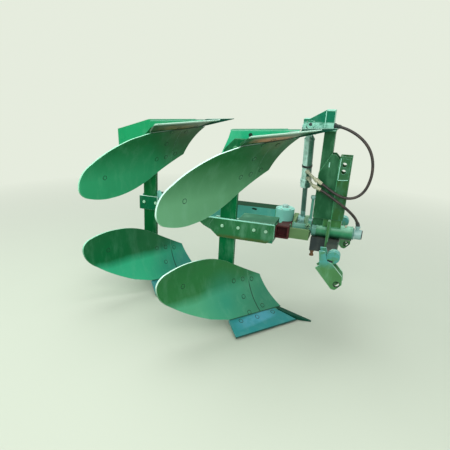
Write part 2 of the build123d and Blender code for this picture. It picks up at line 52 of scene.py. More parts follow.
# Where the turnover axis and the cross tube's rear face lie in the row frame
SHAFT_LOW, SHAFT_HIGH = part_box("turnover_shaft")
TUBE_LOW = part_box("cross_tube")[0]
CROSS_TUBE_REAR = 0.040
ORIGIN_X = TUBE_LOW.x - CROSS_TUBE_REAR
AXIS_Y = (SHAFT_LOW.y + SHAFT_HIGH.y) / 2
AXIS_Z = (SHAFT_LOW.z + SHAFT_HIGH.z) / 2
AXIS_HEIGHT = 600
MM = 0.001

FORWARD = Vector((1, 0, 0))
LEFT = Vector((0, 1, 0))
UP = Vector((0, 0, 1))

# The bodies: the front one stands at the landside plane, the rear one is set back and to the left
LANDSIDE_OFFSET = -50
BODY_PITCH = (-693, 313)
ROWS = ("front", "rear")
HALVES = ("lower", "upper")
BODIES = [(row, half) for row in range(2) for half in range(2)]


def at(x, y, z):
    """A point given in millimetres, in the row frame."""
    return Vector((ORIGIN_X + x * MM, AXIS_Y + y * MM, AXIS_Z + (z - AXIS_HEIGHT) * MM))


def on_body(row, half, x, y, z):
    """A body's own millimetres, with its landside plane at y = 0 and its sole at z = 0, as the plough's."""
    height = z if half == 0 else 2 * AXIS_HEIGHT - z
    return x + BODY_PITCH[0] * row, y + LANDSIDE_OFFSET + BODY_PITCH[1] * row, height


def body_at(row, half, x, y, z):
    """A point given in a body's own millimetres, in the row frame."""
    return at(*on_body(row, half, x, y, z))


def body_name(row, half):
    """The ending of the names of a body's nodes."""
    return f"{ROWS[row]}_{HALVES[half]}"


# Camera, as the photograph was taken
CAMERA_AT = (503.8, -2794.9, 1493.0)
CAMERA_YAW = 0.4225
CAMERA_PITCH = 0.3843
CAMERA_ROLL = -0.0054
FOCAL_PX = 448.72
CENTRE_PX = (166.89, 254.82)
IMAGE_PX = 450
SENSOR = 36.0


def add_camera():
    """The camera at the photograph's place and angle."""
    camera = bpy.data.objects.new("camera", bpy.data.cameras.new("camera"))
    bpy.context.scene.collection.objects.link(camera)
    forward = Vector((
        -math.sin(CAMERA_YAW) * math.cos(CAMERA_PITCH),
        math.cos(CAMERA_YAW) * math.cos(CAMERA_PITCH),
        -math.sin(CAMERA_PITCH),
    ))
    right = forward.cross(UP).normalized()
    down = forward.cross(right)
    turned_right = right * math.cos(CAMERA_ROLL) + down * math.sin(CAMERA_ROLL)
    turned_down = down * math.cos(CAMERA_ROLL) - right * math.sin(CAMERA_ROLL)
    axes = Matrix((turned_right, -turned_down, -forward)).transposed()
    camera.matrix_world = Matrix.Translation(at(*CAMERA_AT)) @ axes.to_4x4()
    camera.data.sensor_width = SENSOR
    camera.data.lens = FOCAL_PX / IMAGE_PX * SENSOR
    camera.data.shift_x = (IMAGE_PX / 2 - CENTRE_PX[0]) / IMAGE_PX
    camera.data.shift_y = (CENTRE_PX[1] - IMAGE_PX / 2) / IMAGE_PX
    bpy.context.scene.camera = camera


class Shader:
    """A short way to place and join the nodes of one material or node group."""

    def __init__(self, tree):
        self.tree = tree

    def node(self, kind, inputs=None, **settings):
        """Adds a node, sets it, and joins or fills the named inputs."""
        made = self.tree.nodes.new(kind)
        for name, value in settings.items():
            setattr(made, name, value)
        for name, value in (inputs or {}).items():
            self.fill(made.inputs[name], value)
        return made

    def fill(self, socket, value):
        """Joins a socket to another, or gives it a fixed value."""
        if isinstance(value, bpy.types.NodeSocket):
            self.tree.links.new(value, socket)
        else:
            socket.default_value = value

    def math(self, operation, a, b=0.0, clamp=False):
        """One arithmetic step."""
        made = self.node("ShaderNodeMath", {0: a, 1: b}, operation=operation, use_clamp=clamp)
        return made.outputs[0]

    def times(self, a, b, clamp=False):
        """The product of two values."""
        return self.math("MULTIPLY", a, b, clamp)

    def vector(self, operation, a, b=(0, 0, 0)):
        """One step on vectors, with the outputs Vector and Value."""
        return self.node("ShaderNodeVectorMath", {0: a, 1: b}, operation=operation).outputs

    def where(self):
        """The place on the piece, in the row frame."""
        return self.node("ShaderNodeTexCoord").outputs["Object"]

    def faces(self, way):
        """How much the surface faces a way, from -1 to 1."""
        return self.vector("DOT_PRODUCT", self.node("ShaderNodeTexCoord").outputs["Normal"], way)["Value"]

    def height(self):
        """The height of the place on the piece."""
        return self.node("ShaderNodeSeparateXYZ", {0: self.where()}).outputs["Z"]

    def noise(self, where, scale, detail, rough):
        """Smooth random values from 0 to 1."""
        inputs = {"Vector": where, "Scale": scale, "Detail": detail, "Roughness": rough}
        return self.node("ShaderNodeTexNoise", inputs).outputs["Fac"]

    def ramp(self, value, low, high, to_low=0.0, to_high=1.0):
        """Maps a value from low..high to to_low..to_high, and holds it there."""
        inputs = {"Value": value, "From Min": low, "From Max": high, "To Min": to_low, "To Max": to_high}
        return self.node("ShaderNodeMapRange", inputs, clamp=True).outputs[0]

    def mix(self, share, a, b, blend="MIX"):
        """A colour between a and b."""
        made = self.node("ShaderNodeMix", {"Factor": share}, data_type="RGBA", blend_type=blend)
        self.fill(made.inputs[6], a)
        self.fill(made.inputs[7], b)
        return made.outputs[2]

    def group(self, name, **values):
        """One of the shared effects, with this material's own values."""
        made = self.node("ShaderNodeGroup", {}, node_tree=GROUPS[name])
        for label, value in values.items():
            self.fill(made.inputs[label], value)
        return made.outputs

    def mask(self, name, **values):
        """The mask that one of the shared effects gives."""
        return self.group(name, **values)["Mask"]

    def line(self, ends, widths):
        """1 on a narrow line through two points, seen along x, and 0 beside it.

        The widths say how far from its middle it is full, and how far it shows."""
        run = (ends[1] - ends[0]).normalized()
        across = Vector((0, -run.z, run.y))
        return self.mask("line", Start=ends[0], Across=across, Inner=widths[0], Outer=widths[1])


def colour(r, g, b):
    """A colour written as screen values from 0 to 255, made linear."""
    linear = []
    for value in (r, g, b):
        share = value / 255
        linear.append(share / 12.92 if share <= 0.04045 else ((share + 0.055) / 1.055) ** 2.4)
    return (*linear, 1.0)


# Dust that settles on top faces, and the pale tone that shows at worn edges
DUST = (150, 152, 124)
MINT = (168, 232, 204)


class Finish(Shader):
    """One material, with the inputs of its shader."""

    def __init__(self, name):
        self.material = bpy.data.materials.new(name)
        self.material.use_nodes = True
        super().__init__(self.material.node_tree)
        self.surface = self.tree.nodes["Principled BSDF"].inputs

    def bump(self, height, strength, depth):
        """Raises the surface where height is more."""
        inputs = {"Height": height, "Strength": strength, "Distance": depth}
        self.fill(self.surface["Normal"], self.node("ShaderNodeBump", inputs).outputs[0])

    def enamel(self, paint, edge=MINT, dust=0.18, wear=0.5, patchy=0.3, gloss=0.35, bump=0.15, shine=0.25):
        """Enamel of one colour or of a colour socket, with dust and with worn edges."""
        skin = self.group("paint_skin", Paint=paint, Edge=colour(*edge), Dust=colour(*DUST),
                          Settled=dust, Wear=wear, Patchy=patchy, Gloss=gloss)
        self.fill(self.surface["Base Color"], skin["Colour"])
        self.fill(self.surface["Roughness"], skin["Roughness"])
        self.surface["Specular IOR Level"].default_value = shine
        self.bump(skin["Height"], bump, 0.0006)
        return self

    def tint(self, mask, tone):
        """Lays a tone over the colour so far, where the mask is 1."""
        base = self.surface["Base Color"].links[0].from_socket
        self.fill(self.surface["Base Color"], self.mix(mask, base, colour(*tone)))
        return self


def new_group(name, outputs, **inputs):
    """An empty node group; an input's default value says whether it is a number, a vector or a colour."""
    kinds = {1: "NodeSocketFloat", 3: "NodeSocketVector", 4: "NodeSocketColor"}
    group = bpy.data.node_groups.new(name, "ShaderNodeTree")
    for label, default in inputs.items():
        width = 1 if isinstance(default, float) else len(default)
        socket = group.interface.new_socket(label, in_out="INPUT", socket_type=kinds[width])
        socket.default_value = default
    for label in outputs:
        kind = kinds[4 if label == "Colour" else 1]
        group.interface.new_socket(label, in_out="OUTPUT", socket_type=kind)
    GROUPS[name] = group
    shader = Shader(group)
    start = shader.node("NodeGroupInput")
    end = shader.node("NodeGroupOutput")
    return shader, start.outputs, end.inputs


def make_patches():
    """Group: uneven patches, at Least where the noise is Low and at Most where it is High."""
    s, given, made = new_group(
        "patches", ["Mask"], Grain=30.0, Detail=4.0, Rough=0.6, Stretch=(1, 1, 1), Low=0.35, High=0.6,
        Least=0.0, Most=1.0)
    where = s.vector("MULTIPLY", s.where(), given["Stretch"])["Vector"]
    cloud = s.noise(where, given["Grain"], given["Detail"], given["Rough"])
    s.fill(made["Mask"], s.ramp(cloud, given["Low"], given["High"], given["Least"], given["Most"]))


def make_edge_mask():
    """Group: 1 on convex edges where paint wears thin, broken up by noise."""
    s, given, made = new_group("edge_mask", ["Mask"], Radius=0.004, Gaps=0.6)
    rounded = s.node("ShaderNodeBevel", {"Radius": given["Radius"]}, samples=6).outputs[0]
    flat = s.node("ShaderNodeNewGeometry").outputs["Normal"]
    turned = s.ramp(s.vector("DOT_PRODUCT", rounded, flat)["Value"], 0.995, 0.80)
    patches = s.mask("patches", Grain=55.0, Rough=0.65, High=0.62)
    kept = s.math("SUBTRACT", 1.0, s.times(given["Gaps"], patches))
    s.fill(made["Mask"], s.times(turned, kept, clamp=True))


def from_centre(s, given):
    """How far the place lies from a group's centre."""
    return s.vector("DISTANCE", s.where(), given["Centre"])["Value"]


def above_origin(s, given):
    """The height of the place, which needs none of a group's inputs."""
    return s.height()


def make_border(name, measure, **inputs):
    """Group: 1 at Inner or less of a measure and 0 at Outer or more, with a ragged border between."""
    s, given, made = new_group(name, ["Mask"], Inner=0.1, Outer=0.3, Ragged=0.1, Grain=9.0, **inputs)
    wander = s.math("SUBTRACT", s.noise(s.where(), given["Grain"], 5.0, 0.6), 0.5)
    moved = s.math("ADD", measure(s, given), s.times(wander, given["Ragged"]))
    s.fill(made["Mask"], s.ramp(moved, given["Outer"], given["Inner"]))


def make_line():
    """Group: 1 within Inner of a line and 0 beyond Outer."""
    s, given, made = new_group("line", ["Mask"], Start=(0, 0, 0), Across=(0, 1, 0), Inner=0.001, Outer=0.002)
    apart = s.vector("SUBTRACT", s.where(), given["Start"])["Vector"]
    off = s.math("ABSOLUTE", s.vector("DOT_PRODUCT", apart, given["Across"])["Value"])
    s.fill(made["Mask"], s.ramp(off, given["Outer"], given["Inner"]))


def make_facing():
    """Groups: 1 where the surface faces a way as much as Full says, and 0 where Gone says.

    Facing tells a way from its opposite, and edge_on takes both alike."""
    for name in ("facing", "edge_on"):
        s, given, made = new_group(name, ["Mask"], Way=(0, 0, 1), Gone=0.6, Full=0.2)
        turn = s.faces(given["Way"])
        if name == "edge_on":
            turn = s.math("ABSOLUTE", turn)
        s.fill(made["Mask"], s.ramp(turn, given["Gone"], given["Full"]))


def make_band():
    """Group: patches that are full at one height and gone at another."""
    s, given, made = new_group("band", ["Mask"], Full=0.1, Gone=0.2)
    patches = s.mask("patches", Grain=34.0, Rough=0.65, Low=0.36, High=0.56, Least=0.2, Most=0.95)
    s.fill(made["Mask"], s.times(s.ramp(s.height(), given["Gone"], given["Full"]), patches))


# What the dark patches of the enamel leave of its red, green and blue
DEEPENING = (0.30, 0.42, 0.34, 1)


def make_paint_skin():
    """Group: enamel with a slightly uneven tone, dust on top faces, fine specks and chipped edges."""
    s, given, made = new_group(
        "paint_skin", ["Colour", "Roughness", "Height"], Paint=(0, 0.2, 0.1, 1), Edge=(0.4, 0.8, 0.6, 1),
        Dust=(0.3, 0.3, 0.2, 1), Settled=0.2, Wear=0.6, Patchy=0.3, Gloss=0.35)
    where = s.where()
    stretched = s.node("ShaderNodeMapping", {"Vector": where, "Scale": (1.0, 1.0, 0.35)}).outputs[0]
    runs = s.noise(stretched, 16.0, 5.0, 0.6)
    specks = s.noise(where, 220.0, 2.0, 0.6)
    dark = s.times(s.ramp(s.noise(where, 5.0, 4.0, 0.6), 0.5, 0.3), given["Patchy"])
    light = s.times(s.ramp(runs, 0.5, 0.75), s.times(given["Patchy"], 0.6))
    deep = s.mix(1.0, given["Paint"], DEEPENING, blend="MULTIPLY")
    toned = s.mix(light, s.mix(dark, given["Paint"], deep), given["Edge"])
    level = s.times(s.ramp(s.faces(UP), 0.1, 0.95), s.ramp(runs, 0.35, 0.65, 0.4, 1.0))
    settled = s.math("ADD", s.times(level, 0.8), s.ramp(specks, 0.62, 0.72, 0.0, 0.3))
    dusty = s.times(settled, given["Settled"], clamp=True)
    worn = s.times(s.mask("edge_mask"), given["Wear"], clamp=True)
    s.fill(made["Colour"], s.mix(worn, s.mix(dusty, toned, given["Dust"]), given["Edge"]))
    dull = s.math("ADD", given["Gloss"], s.times(dusty, 0.45))
    s.fill(made["Roughness"], s.math("ADD", dull, s.ramp(specks, 0.3, 0.7, -0.05, 0.08), clamp=True))
    peel = s.noise(where, 320.0, 2.0, 0.5)
    height = s.math("ADD", s.times(peel, 0.35), s.times(runs, 0.8))
    s.fill(made["Height"], s.math("SUBTRACT", height, s.times(worn, 0.4)))


def make_threads():
    """Group: the fine turns of a thread or a lathe, along one axis."""
    s, given, made = new_group("threads", ["Height"], Axis=(1, 0, 0), Turns=900.0)
    along = s.vector("DOT_PRODUCT", s.where(), given["Axis"])["Value"]
    s.fill(made["Height"], s.ramp(s.math("SINE", s.times(along, given["Turns"])), -1.0, 1.0))


GROUPS = {}
make_patches()
make_edge_mask()
make_border("spot", from_centre, Centre=(0, 0, 0))
make_border("level", above_origin)
make_line()
make_facing()
make_band()
make_paint_skin()
make_threads()


def painted(name, paint, edge=MINT, **options):
    """A painted finish with its own tone, edge wear and dust."""
    return Finish(name).enamel(colour(*paint), edge, **options)


# Moldboard tones: towards the sole, away from it, by the share, and the smear above the share. The first
# three are painted light and shade: pale on a lower board where it faces the sky, dark on an upper board
# where it faces down.
BOARD_TONES = {
    "front_lower": ((80, 172, 130), (26, 114, 54), (44, 132, 102), (110, 150, 112)),
    "front_upper": ((14, 100, 46), (100, 164, 120), (10, 94, 42), (120, 112, 70)),
    "rear_lower": ((54, 184, 138), (0, 104, 56), (44, 138, 122), (70, 150, 120)),
    "rear_upper": ((6, 108, 56), (42, 154, 104), (16, 84, 38), (84, 92, 48)),
}
# For the lower and the upper half: the heights above the sole between which the first tone turns
# into the second, how much of the smear and of the seam's shade shows
TONE_LEVELS = ((215, 275), (140, 360))
SMEAR_SHARES = (0.1, 0.5)
SEAM_SHARES = (0.85, 0.3)
# Where the tone by the share and the smear have their middle, in a body's own frame
SHARE_TIP = (313, -20, -14)
SMEAR_AT = (40, -160, 60)
# The front lower board takes a deeper teal tone round here
DEEP_TEAL_AT = (-190, -300, 150)
DEEP_TEAL_TONE = (34, 146, 120)
# The painted highlights along the boards' upper rims, and the paler trim of the shares, whose tone the front
# rims take
TRIM = (205, 244, 226)
RIM_HIGHLIGHTS = (TRIM, (156, 226, 192))
SEAM_SHADE = (10, 52, 34)
# The seam between shin and moldboard and the joint between share and moldboard, as two points each
# in a body's own y and z, and where the seam's shade ends
SEAM_LINE = ((-148, 55), (-70, 309))
SEAM_SHADE_TOP = 225
JOINT_LINE = ((-348, 67), (-12, 48))
# How far from the middle of its line each mark is full and how far it shows, in metres
SEAM_WIDTHS = (0.0022, 0.0036)
SEAM_CLEARANCE = (0.006, 0.009)
JOINT_WIDTHS = (0.0036, 0.00585)


def body_line(row, half, line):
    """The ends of a line given in a body's own y and z, in the row frame."""
    return [body_at(row, half, 0, y, z) for y, z in line]


def board_paint(row, half):
    """A moldboard's enamel: painted light and shade from the sole up to the tail and by the share, a smear
    above the share, and a painted highlight along the upper rim.
    """
    s = Finish("board_paint_" + body_name(row, half))
    low, high, near, smear = (colour(*tone) for tone in BOARD_TONES[body_name(row, half)])
    start, end = (body_at(row, half, 0, 0, level).z for level in TONE_LEVELS[half])
    # The tone towards the sole is a painted highlight on a lower board and painted shade on an upper one
    painted_light_toward_sole = s.mask("level", Inner=start, Outer=end, Ragged=0.05, Grain=3.5)
    tone = s.mix(painted_light_toward_sole, high, low)
    if (row, half) == (0, 0):
        retoned_area = s.mask("spot", Centre=body_at(row, half, *DEEP_TEAL_AT), Inner=0.03, Outer=0.24, Grain=3.0)
        tone = s.mix(s.times(retoned_area, 0.8), tone, colour(*DEEP_TEAL_TONE))
    # The tone by the share is a painted sky reflection on a lower board and painted shade on an upper one
    by_share = s.mask("spot", Centre=body_at(row, half, *SHARE_TIP), Inner=0.36, Outer=0.60)
    tone = s.mix(by_share, tone, near)
    smeared = s.mask("spot", Centre=body_at(row, half, *SMEAR_AT), Inner=0.01, Outer=0.13, Ragged=0.14,
                     Grain=12.0)
    tone = s.mix(s.times(smeared, SMEAR_SHARES[half]), tone, smear)
    s.enamel(tone, dust=0.06, wear=0.45, patchy=0.14, gloss=0.34, bump=0.10, shine=0.3)
    # The sheet is cut square to x, so its cut edges have no x in their normal; the upper rim, which faces up
    # and out, gets a pale painted highlight
    ends = body_line(row, half, SEAM_LINE)
    cut = s.mask("edge_on", Way=FORWARD, Gone=0.30, Full=0.12)
    beside = s.math("SUBTRACT", 1.0, s.line(ends, SEAM_CLEARANCE))
    outward = s.mask("facing", Way=LEFT, Gone=0.32, Full=0.10)
    upward = s.mask("facing", Way=UP, Gone=-0.4, Full=0.1)
    rim = s.ramp(s.times(outward, upward), 0.0, 1.0, 0.12, 1.0)
    s.tint(s.times(s.times(cut, beside), rim), RIM_HIGHLIGHTS[row])
    run = (ends[1] - ends[0]).normalized()
    shade_end = (body_at(row, half, 0, 0, SEAM_SHADE_TOP) - ends[0]).dot(run)
    along = s.vector("DOT_PRODUCT", s.vector("SUBTRACT", s.where(), ends[0])["Vector"], run)["Value"]
    below = s.times(s.ramp(along, shade_end, shade_end - 0.04), SEAM_SHARES[half])
    seam = s.times(s.line(ends, SEAM_WIDTHS), below)
    joint = s.times(s.line(body_line(row, half, JOINT_LINE), JOINT_WIDTHS), 0.8)
    return s.tint(s.math("MAXIMUM", seam, joint), SEAM_SHADE)


# Share tones: the paint, and the streak along its middle
SHARE_TONES = {
    "front_lower": ((40, 142, 142), (78, 164, 184)),
    "front_upper": ((22, 90, 44), (206, 140, 100)),
    "rear_lower": ((40, 144, 144), (78, 164, 184)),
    "rear_upper": ((30, 84, 42), (120, 106, 50)),
}
# The cutting edge and the streak along the share's middle, in a body's own y and z
SHARE_EDGE = ((-440, 4), (-43, -4))
SHARE_BAND = ((-328, 38), (-105, 42))
SHARE_MIDDLE = (0, -220, 42)
BAND_WIDTHS = (0.0104, 0.0169)
# The cutting edge's line on a lower and on an upper share: how wide it is and its tone
EDGE_LINES = (((0.0028, 0.00455), SEAM_SHADE), ((0.0072, 0.0117), TRIM))


def share_paint(row, half):
    """A share's finish, with a streak along its middle and a line along its cutting edge."""
    s = Finish("share_paint_" + body_name(row, half))
    paint, streak = SHARE_TONES[body_name(row, half)]
    band = s.line(body_line(row, half, SHARE_BAND), BAND_WIDTHS)
    middle = s.mask("spot", Centre=body_at(row, half, *SHARE_MIDDLE), Inner=0.08, Outer=0.19, Grain=14.0)
    grain = s.mask("patches", Grain=26.0, Rough=0.65, Low=0.30, High=0.55, Least=0.45)
    streaked = s.times(s.times(band, middle), grain)
    tone = s.mix(s.times(streaked, 0.9), colour(*paint), colour(*streak))
    s.enamel(tone, edge=(150, 200, 196), dust=0.08, wear=0.35, patchy=0.2, gloss=0.34, shine=0.3)
    rub_sole_side(s, half)
    widths, edge_tone = EDGE_LINES[half]
    return s.tint(s.times(s.line(body_line(row, half, SHARE_EDGE), widths), 0.85), edge_tone)


def rub_sole_side(finish, half):
    """Rubs the faces that slide over the soil pale: they look down on a lower body and up on an upper one."""
    way = UP if half == 1 else -UP
    turned = finish.mask("facing", Way=way, Gone=0.45, Full=0.8)
    return finish.tint(finish.times(turned, 0.45), TRIM)


def point_paint(half):
    """The bar point's paint, worn bright on its sole side."""
    finish = painted("point_paint_" + HALVES[half], (10, 74, 56), (70, 124, 104), patchy=0.4, gloss=0.45,
                     dust=0.0, wear=0.3, shine=0.08)
    return rub_sole_side(finish, half)


def painted_highlight_streak(finish, streak):
    """Paints a pale, uneven streak along the side of a barrel that faces back: a painted highlight."""
    back = finish.mask("facing", Way=FORWARD, Gone=0.22, Full=-0.05)
    patches = finish.mask("patches", Grain=20.0, Detail=3.0, Stretch=(1.0, 1.0, 0.8), Low=0.34, High=0.54,
                          Least=0.55)
    return finish.tint(finish.times(back, patches), streak)


def plate_paint(name, paint, trim, strength=0.75, **options):
    """A painted plate that stands in the x-z plane, with its cut edges picked out in another tone, on most
    plates a pale painted highlight.
    """
    finish = painted(name, paint, **options)
    cut = finish.mask("edge_on", Way=LEFT)
    return finish.tint(finish.times(cut, strength), trim)


def topped(finish, tone):
    """Gives the faces that look up their own tone."""
    return finish.tint(finish.mask("facing", Way=UP, Gone=0.7, Full=0.9), tone)


def bored(finish, centre, reach):
    """Darkens the wall of a bore along y."""
    flat = finish.vector("MULTIPLY", finish.where(), (1, 0, 1))["Vector"]
    apart = finish.vector("DISTANCE", flat, (centre.x, 0, centre.z))["Value"]
    return finish.tint(finish.ramp(apart, reach, reach - 0.001), BORE_SHADE)


def banded(finish, full, gone, tone):
    """Lays patches of a tone over a finish, full at the first height and gone at the second."""
    band = finish.mask("band", Full=at(0, 0, full).z, Gone=at(0, 0, gone).z)
    return finish.tint(band, tone)


def lit_top_shaded_underside(finish, light, dark):
    """Paints a tube paler on top, in patches, as a painted highlight, and darker below as painted shade."""
    patches = finish.mask("patches", Detail=3.0, Low=0.3, Least=0.35, Most=0.9)
    retoned_area = finish.mask("facing", Way=UP, Gone=0.35, Full=0.85)
    finish.tint(finish.times(retoned_area, patches), light)
    below = finish.mask("facing", Way=UP, Gone=0.05, Full=-0.55)
    return finish.tint(finish.times(below, 0.9), dark)


def turned_metal(name, tone, rough, turns):
    """Bare metal turned along x, with a little staining."""
    s = Finish(name)
    spots = s.mask("patches", Grain=60.0, Detail=5.0, Rough=0.65, Low=0.5, High=0.72)
    s.fill(s.surface["Base Color"], s.mix(s.times(spots, 0.3), colour(*tone), colour(90, 70, 50)))
    s.surface["Metallic"].default_value = 1.0
    dull = s.mask("patches", Grain=180.0, Detail=3.0, Rough=0.55, Low=0.3, High=0.7, Least=rough - 0.08,
                  Most=rough + 0.12)
    s.fill(s.surface["Roughness"], dull)
    s.bump(s.group("threads", Turns=turns)["Height"], 0.3, 0.0004)
    return s


def rubber(name):
    """Satin black hose cover with a woven mark under it and pale dust."""
    s = Finish(name)
    dust = s.mask("patches", Low=0.45, High=0.75, Most=0.4)
    s.fill(s.surface["Base Color"], s.mix(dust, colour(38, 33, 32), colour(104, 88, 78)))
    s.fill(s.surface["Roughness"], s.ramp(dust, 0.0, 0.4, 0.42, 0.65))
    s.bump(s.noise(s.where(), 700.0, 1.0, 0.4), 0.25, 0.0004)
    return s


# The bore in each lower link: its middle and how far from there its wall goes dark, in metres
LINK_BORE = at(440, 0, 424)
LINK_BORE_REACH = 0.0185
BORE_SHADE = (14, 44, 30)

FRAME_GLOSS = {"gloss": 0.36, "dust": 0.04, "shine": 0.06}
FINISHES = {
    "share_point_lower": point_paint(0),
    "share_point_upper": point_paint(1),
    "frame": painted("frame_paint", (0, 92, 44), patchy=0.2, **FRAME_GLOSS),
    "front_frame": painted("front_frame_paint", (0, 100, 54), patchy=0.2, **FRAME_GLOSS),
    "front_beam": painted("front_beam_paint", (34, 116, 84), patchy=0.25, **FRAME_GLOSS),
    "cheek": plate_paint("cheek_paint", (36, 108, 62), (190, 250, 224), 0.9, patchy=0.35, gloss=0.4, dust=0.1,
                         shine=0.16),
    "landside": plate_paint("landside_paint", (40, 190, 136), (206, 252, 232), patchy=0.2, gloss=0.3),
    "rear_landside": plate_paint("rear_landside_paint", (16, 164, 104), (180, 240, 214), patchy=0.2,
                                 gloss=0.3),
    "clamp": plate_paint("clamp_paint", (0, 100, 62), (214, 252, 238), 0.95, patchy=0.25, dust=0.04,
                         shine=0.08),
    "headstock": painted("headstock_paint", (54, 140, 98), (170, 232, 200), gloss=0.3),
    "mast": painted("mast_paint", (28, 88, 54), (120, 196, 150), patchy=0.4, gloss=0.4, dust=0.08,
                    shine=0.15),
    "channel": painted("channel_paint", (50, 100, 52), (120, 214, 190), patchy=0.45, gloss=0.4, dust=0.1,
                       shine=0.15),
    "pad": painted("pad_paint", (44, 104, 64), (140, 220, 196), gloss=0.4, dust=0.06, wear=1.0, shine=0.15),
    "link": plate_paint("link_paint", (74, 130, 78), (190, 230, 208), patchy=0.4, gloss=0.45, dust=0.1),
    "bulkhead": plate_paint("bulkhead_paint", (62, 122, 66), (166, 214, 180), patchy=0.4, gloss=0.45,
                            dust=0.1),
    "beam": plate_paint("beam_paint", (86, 172, 158), (0, 58, 34), 1.0, gloss=0.5, dust=0.02, wear=0.2,
                        shine=0.05),
    "hub": painted("hub_paint", (138, 214, 200), (200, 242, 232), gloss=0.36),
    "cylinder": painted("cylinder_paint", (54, 108, 88), (150, 200, 190), patchy=0.5, gloss=0.26, shine=0.4),
    "bracket": plate_paint("bracket_paint", (6, 112, 82), (156, 226, 204), patchy=0.25, gloss=0.34, dust=0.06,
                           shine=0.16),
    "shaft_paint": painted("shaft_paint", (84, 150, 132), (150, 204, 196), patchy=0.5, gloss=0.34),
    "red": painted("red_primer", (70, 24, 30), (120, 64, 56), patchy=0.6, gloss=0.6, dust=0.08),
    "olive": painted("olive_paint", (100, 136, 88), (176, 204, 160), gloss=0.5),
    # Dark paint of nuts and fittings, which also serves as painted shade on the cross beam and the stop box
    # under the bearing tube
    "dark": painted("dark_paint", (48, 58, 60), (104, 110, 104), patchy=0.6, gloss=0.5),
    "rust": painted("rusty_bolt", (104, 72, 48), (150, 116, 84), patchy=0.6, gloss=0.6),
    # The pale edge tone: worn edges, and painted highlights on the cheek's top rim and the bracket's edge
    # strips
    "trim": painted("worn_edge_and_highlight", (150, 224, 202), (220, 250, 238), patchy=0.4, gloss=0.4),
    "dark_ring": painted("ring_shadow", (8, 46, 32), (20, 70, 50), patchy=0.2, gloss=0.6),
    "weld": painted("weld_paint", (58, 140, 92), patchy=0.5, gloss=0.4, bump=0.5),
    "leg_bolt": painted("leg_bolt_paint", (58, 140, 92), (150, 210, 176), patchy=0.5),
    "bolt": painted("bolt_paint", (158, 214, 180), (226, 246, 234), patchy=0.5, shine=0.5),
    "steel": turned_metal("turned_steel", (176, 184, 178), 0.30, 2600.0),
    "pale_steel": painted("pale_steel", (140, 184, 180), (226, 246, 238), patchy=0.5, gloss=0.3, shine=0.5),
    "pale_green": painted("pale_green", (112, 168, 126), (206, 236, 214), patchy=0.5, gloss=0.4, shine=0.35),
    "zinc": painted("dull_zinc", (186, 186, 158), (226, 226, 204), patchy=0.6, gloss=0.42, dust=0.1,
                    shine=0.5),
    "rod": painted("rod_film", (84, 122, 112), (140, 180, 170), patchy=0.5, gloss=0.25, shine=0.5),
    "rubber": rubber("hose_rubber"),
}
topped(FINISHES["landside"], (0, 110, 82))
topped(FINISHES["rear_landside"], (0, 104, 84))
# Painted highlight on the bearing tube's top and painted shade under it
lit_top_shaded_underside(FINISHES["headstock"], (160, 222, 194), (14, 62, 42))
# A painted highlight along the barrel's back side
painted_highlight_streak(FINISHES["cylinder"], (202, 246, 236))
bored(FINISHES["link"], LINK_BORE, LINK_BORE_REACH)
# Oily soil along the cheeks' lower edge, bluer lower links, a pale painted highlight low on the bracket, and
# the rod's pale eye
banded(FINISHES["cheek"], 551, 566, (70, 86, 40))
banded(FINISHES["link"], 548, 506, (76, 156, 150))
banded(FINISHES["bracket"], 1236, 1244, (158, 220, 200))
banded(FINISHES["rod"], 664, 676, (136, 196, 190))
for row, half in BODIES:
    FINISHES["board_" + body_name(row, half)] = board_paint(row, half)
    FINISHES["share_" + body_name(row, half)] = share_paint(row, half)

# Each finish and the starts of the names of the CAD nodes that have it
NODE_FINISH = {
    "rear_landside": ("landside_rear",), "landside": ("landside_front",), "front_frame": ("leg_front",),
    "frame": ("frog_", "stay_", "leg_rear"), "beam": ("main_beam",), "front_beam": ("front_beam",),
    "cheek": ("cheek_",), "clamp": ("clamp_plate",), "red": ("cross_tube",), "hub": ("pivot_sleeve",),
    "olive": ("yoke_block", "crank_arm"), "shaft_paint": ("turnover_shaft", "stop_screw"),
    "cylinder": ("cylinder_barrel",), "zinc": ("port_pipes",), "rod": ("cylinder_rod",),
    "steel": ("eye_pin", "top_pin"), "headstock": ("bearing_tube",), "bulkhead": ("bulkhead",),
    "mast": ("mast_",), "channel": ("top_link_channel",), "bracket": ("top_bracket",),
    # The cross beam and the stop box take the dark finish as painted shade under the bearing tube
    "dark": ("cross_beam", "stop_box", "loop_fitting"), "link": ("lower_link_",),
    "pale_steel": ("rotary_union",), "rubber": ("hose_",),
}


def node_finish(name):
    """The finish of one CAD node."""
    start, _, tail = name.partition("_")
    if start in ("moldboard", "shin"):
        return "board_" + tail
    if start == "share":
        return "share_point_" + name.rpartition("_")[2] if tail.startswith("point") else name
    return next(finish for finish, starts in NODE_FINISH.items() if name.startswith(starts))


def soften_edges(piece, width, angle):
    """Rounds a piece's edges that are sharper than an angle, by a width in millimetres."""
    bevel = piece.modifiers.new("soft_edges", "BEVEL")
    bevel.width = width * MM
    bevel.segments = 2
    bevel.limit_method = "ANGLE"
    bevel.angle_limit = math.radians(angle)


# How wide the CAD nodes' edges are rounded, and from what angle on; and that angle for new pieces
NODE_EDGE = 1.2
NODE_EDGE_ANGLE = 35
PIECE_EDGE_ANGLE = 40


def dress_nodes():
    """Gives each CAD node its finish and slightly rounded edges."""
    for name, node in NODES.items():
        node.data.materials.clear()
        node.data.materials.append(FINISHES[node_finish(name)].material)
        soften_edges(node, NODE_EDGE, NODE_EDGE_ANGLE)


def facing(start, way):
    """A place at start whose Z points along way."""
    return Matrix.Translation(start) @ Vector(way).to_track_quat("Z", "Y").to_matrix().to_4x4()


def arc(radius, turns):
    """Points round 0, at angles in radians."""
    return [(radius * math.cos(turn), radius * math.sin(turn)) for turn in turns]


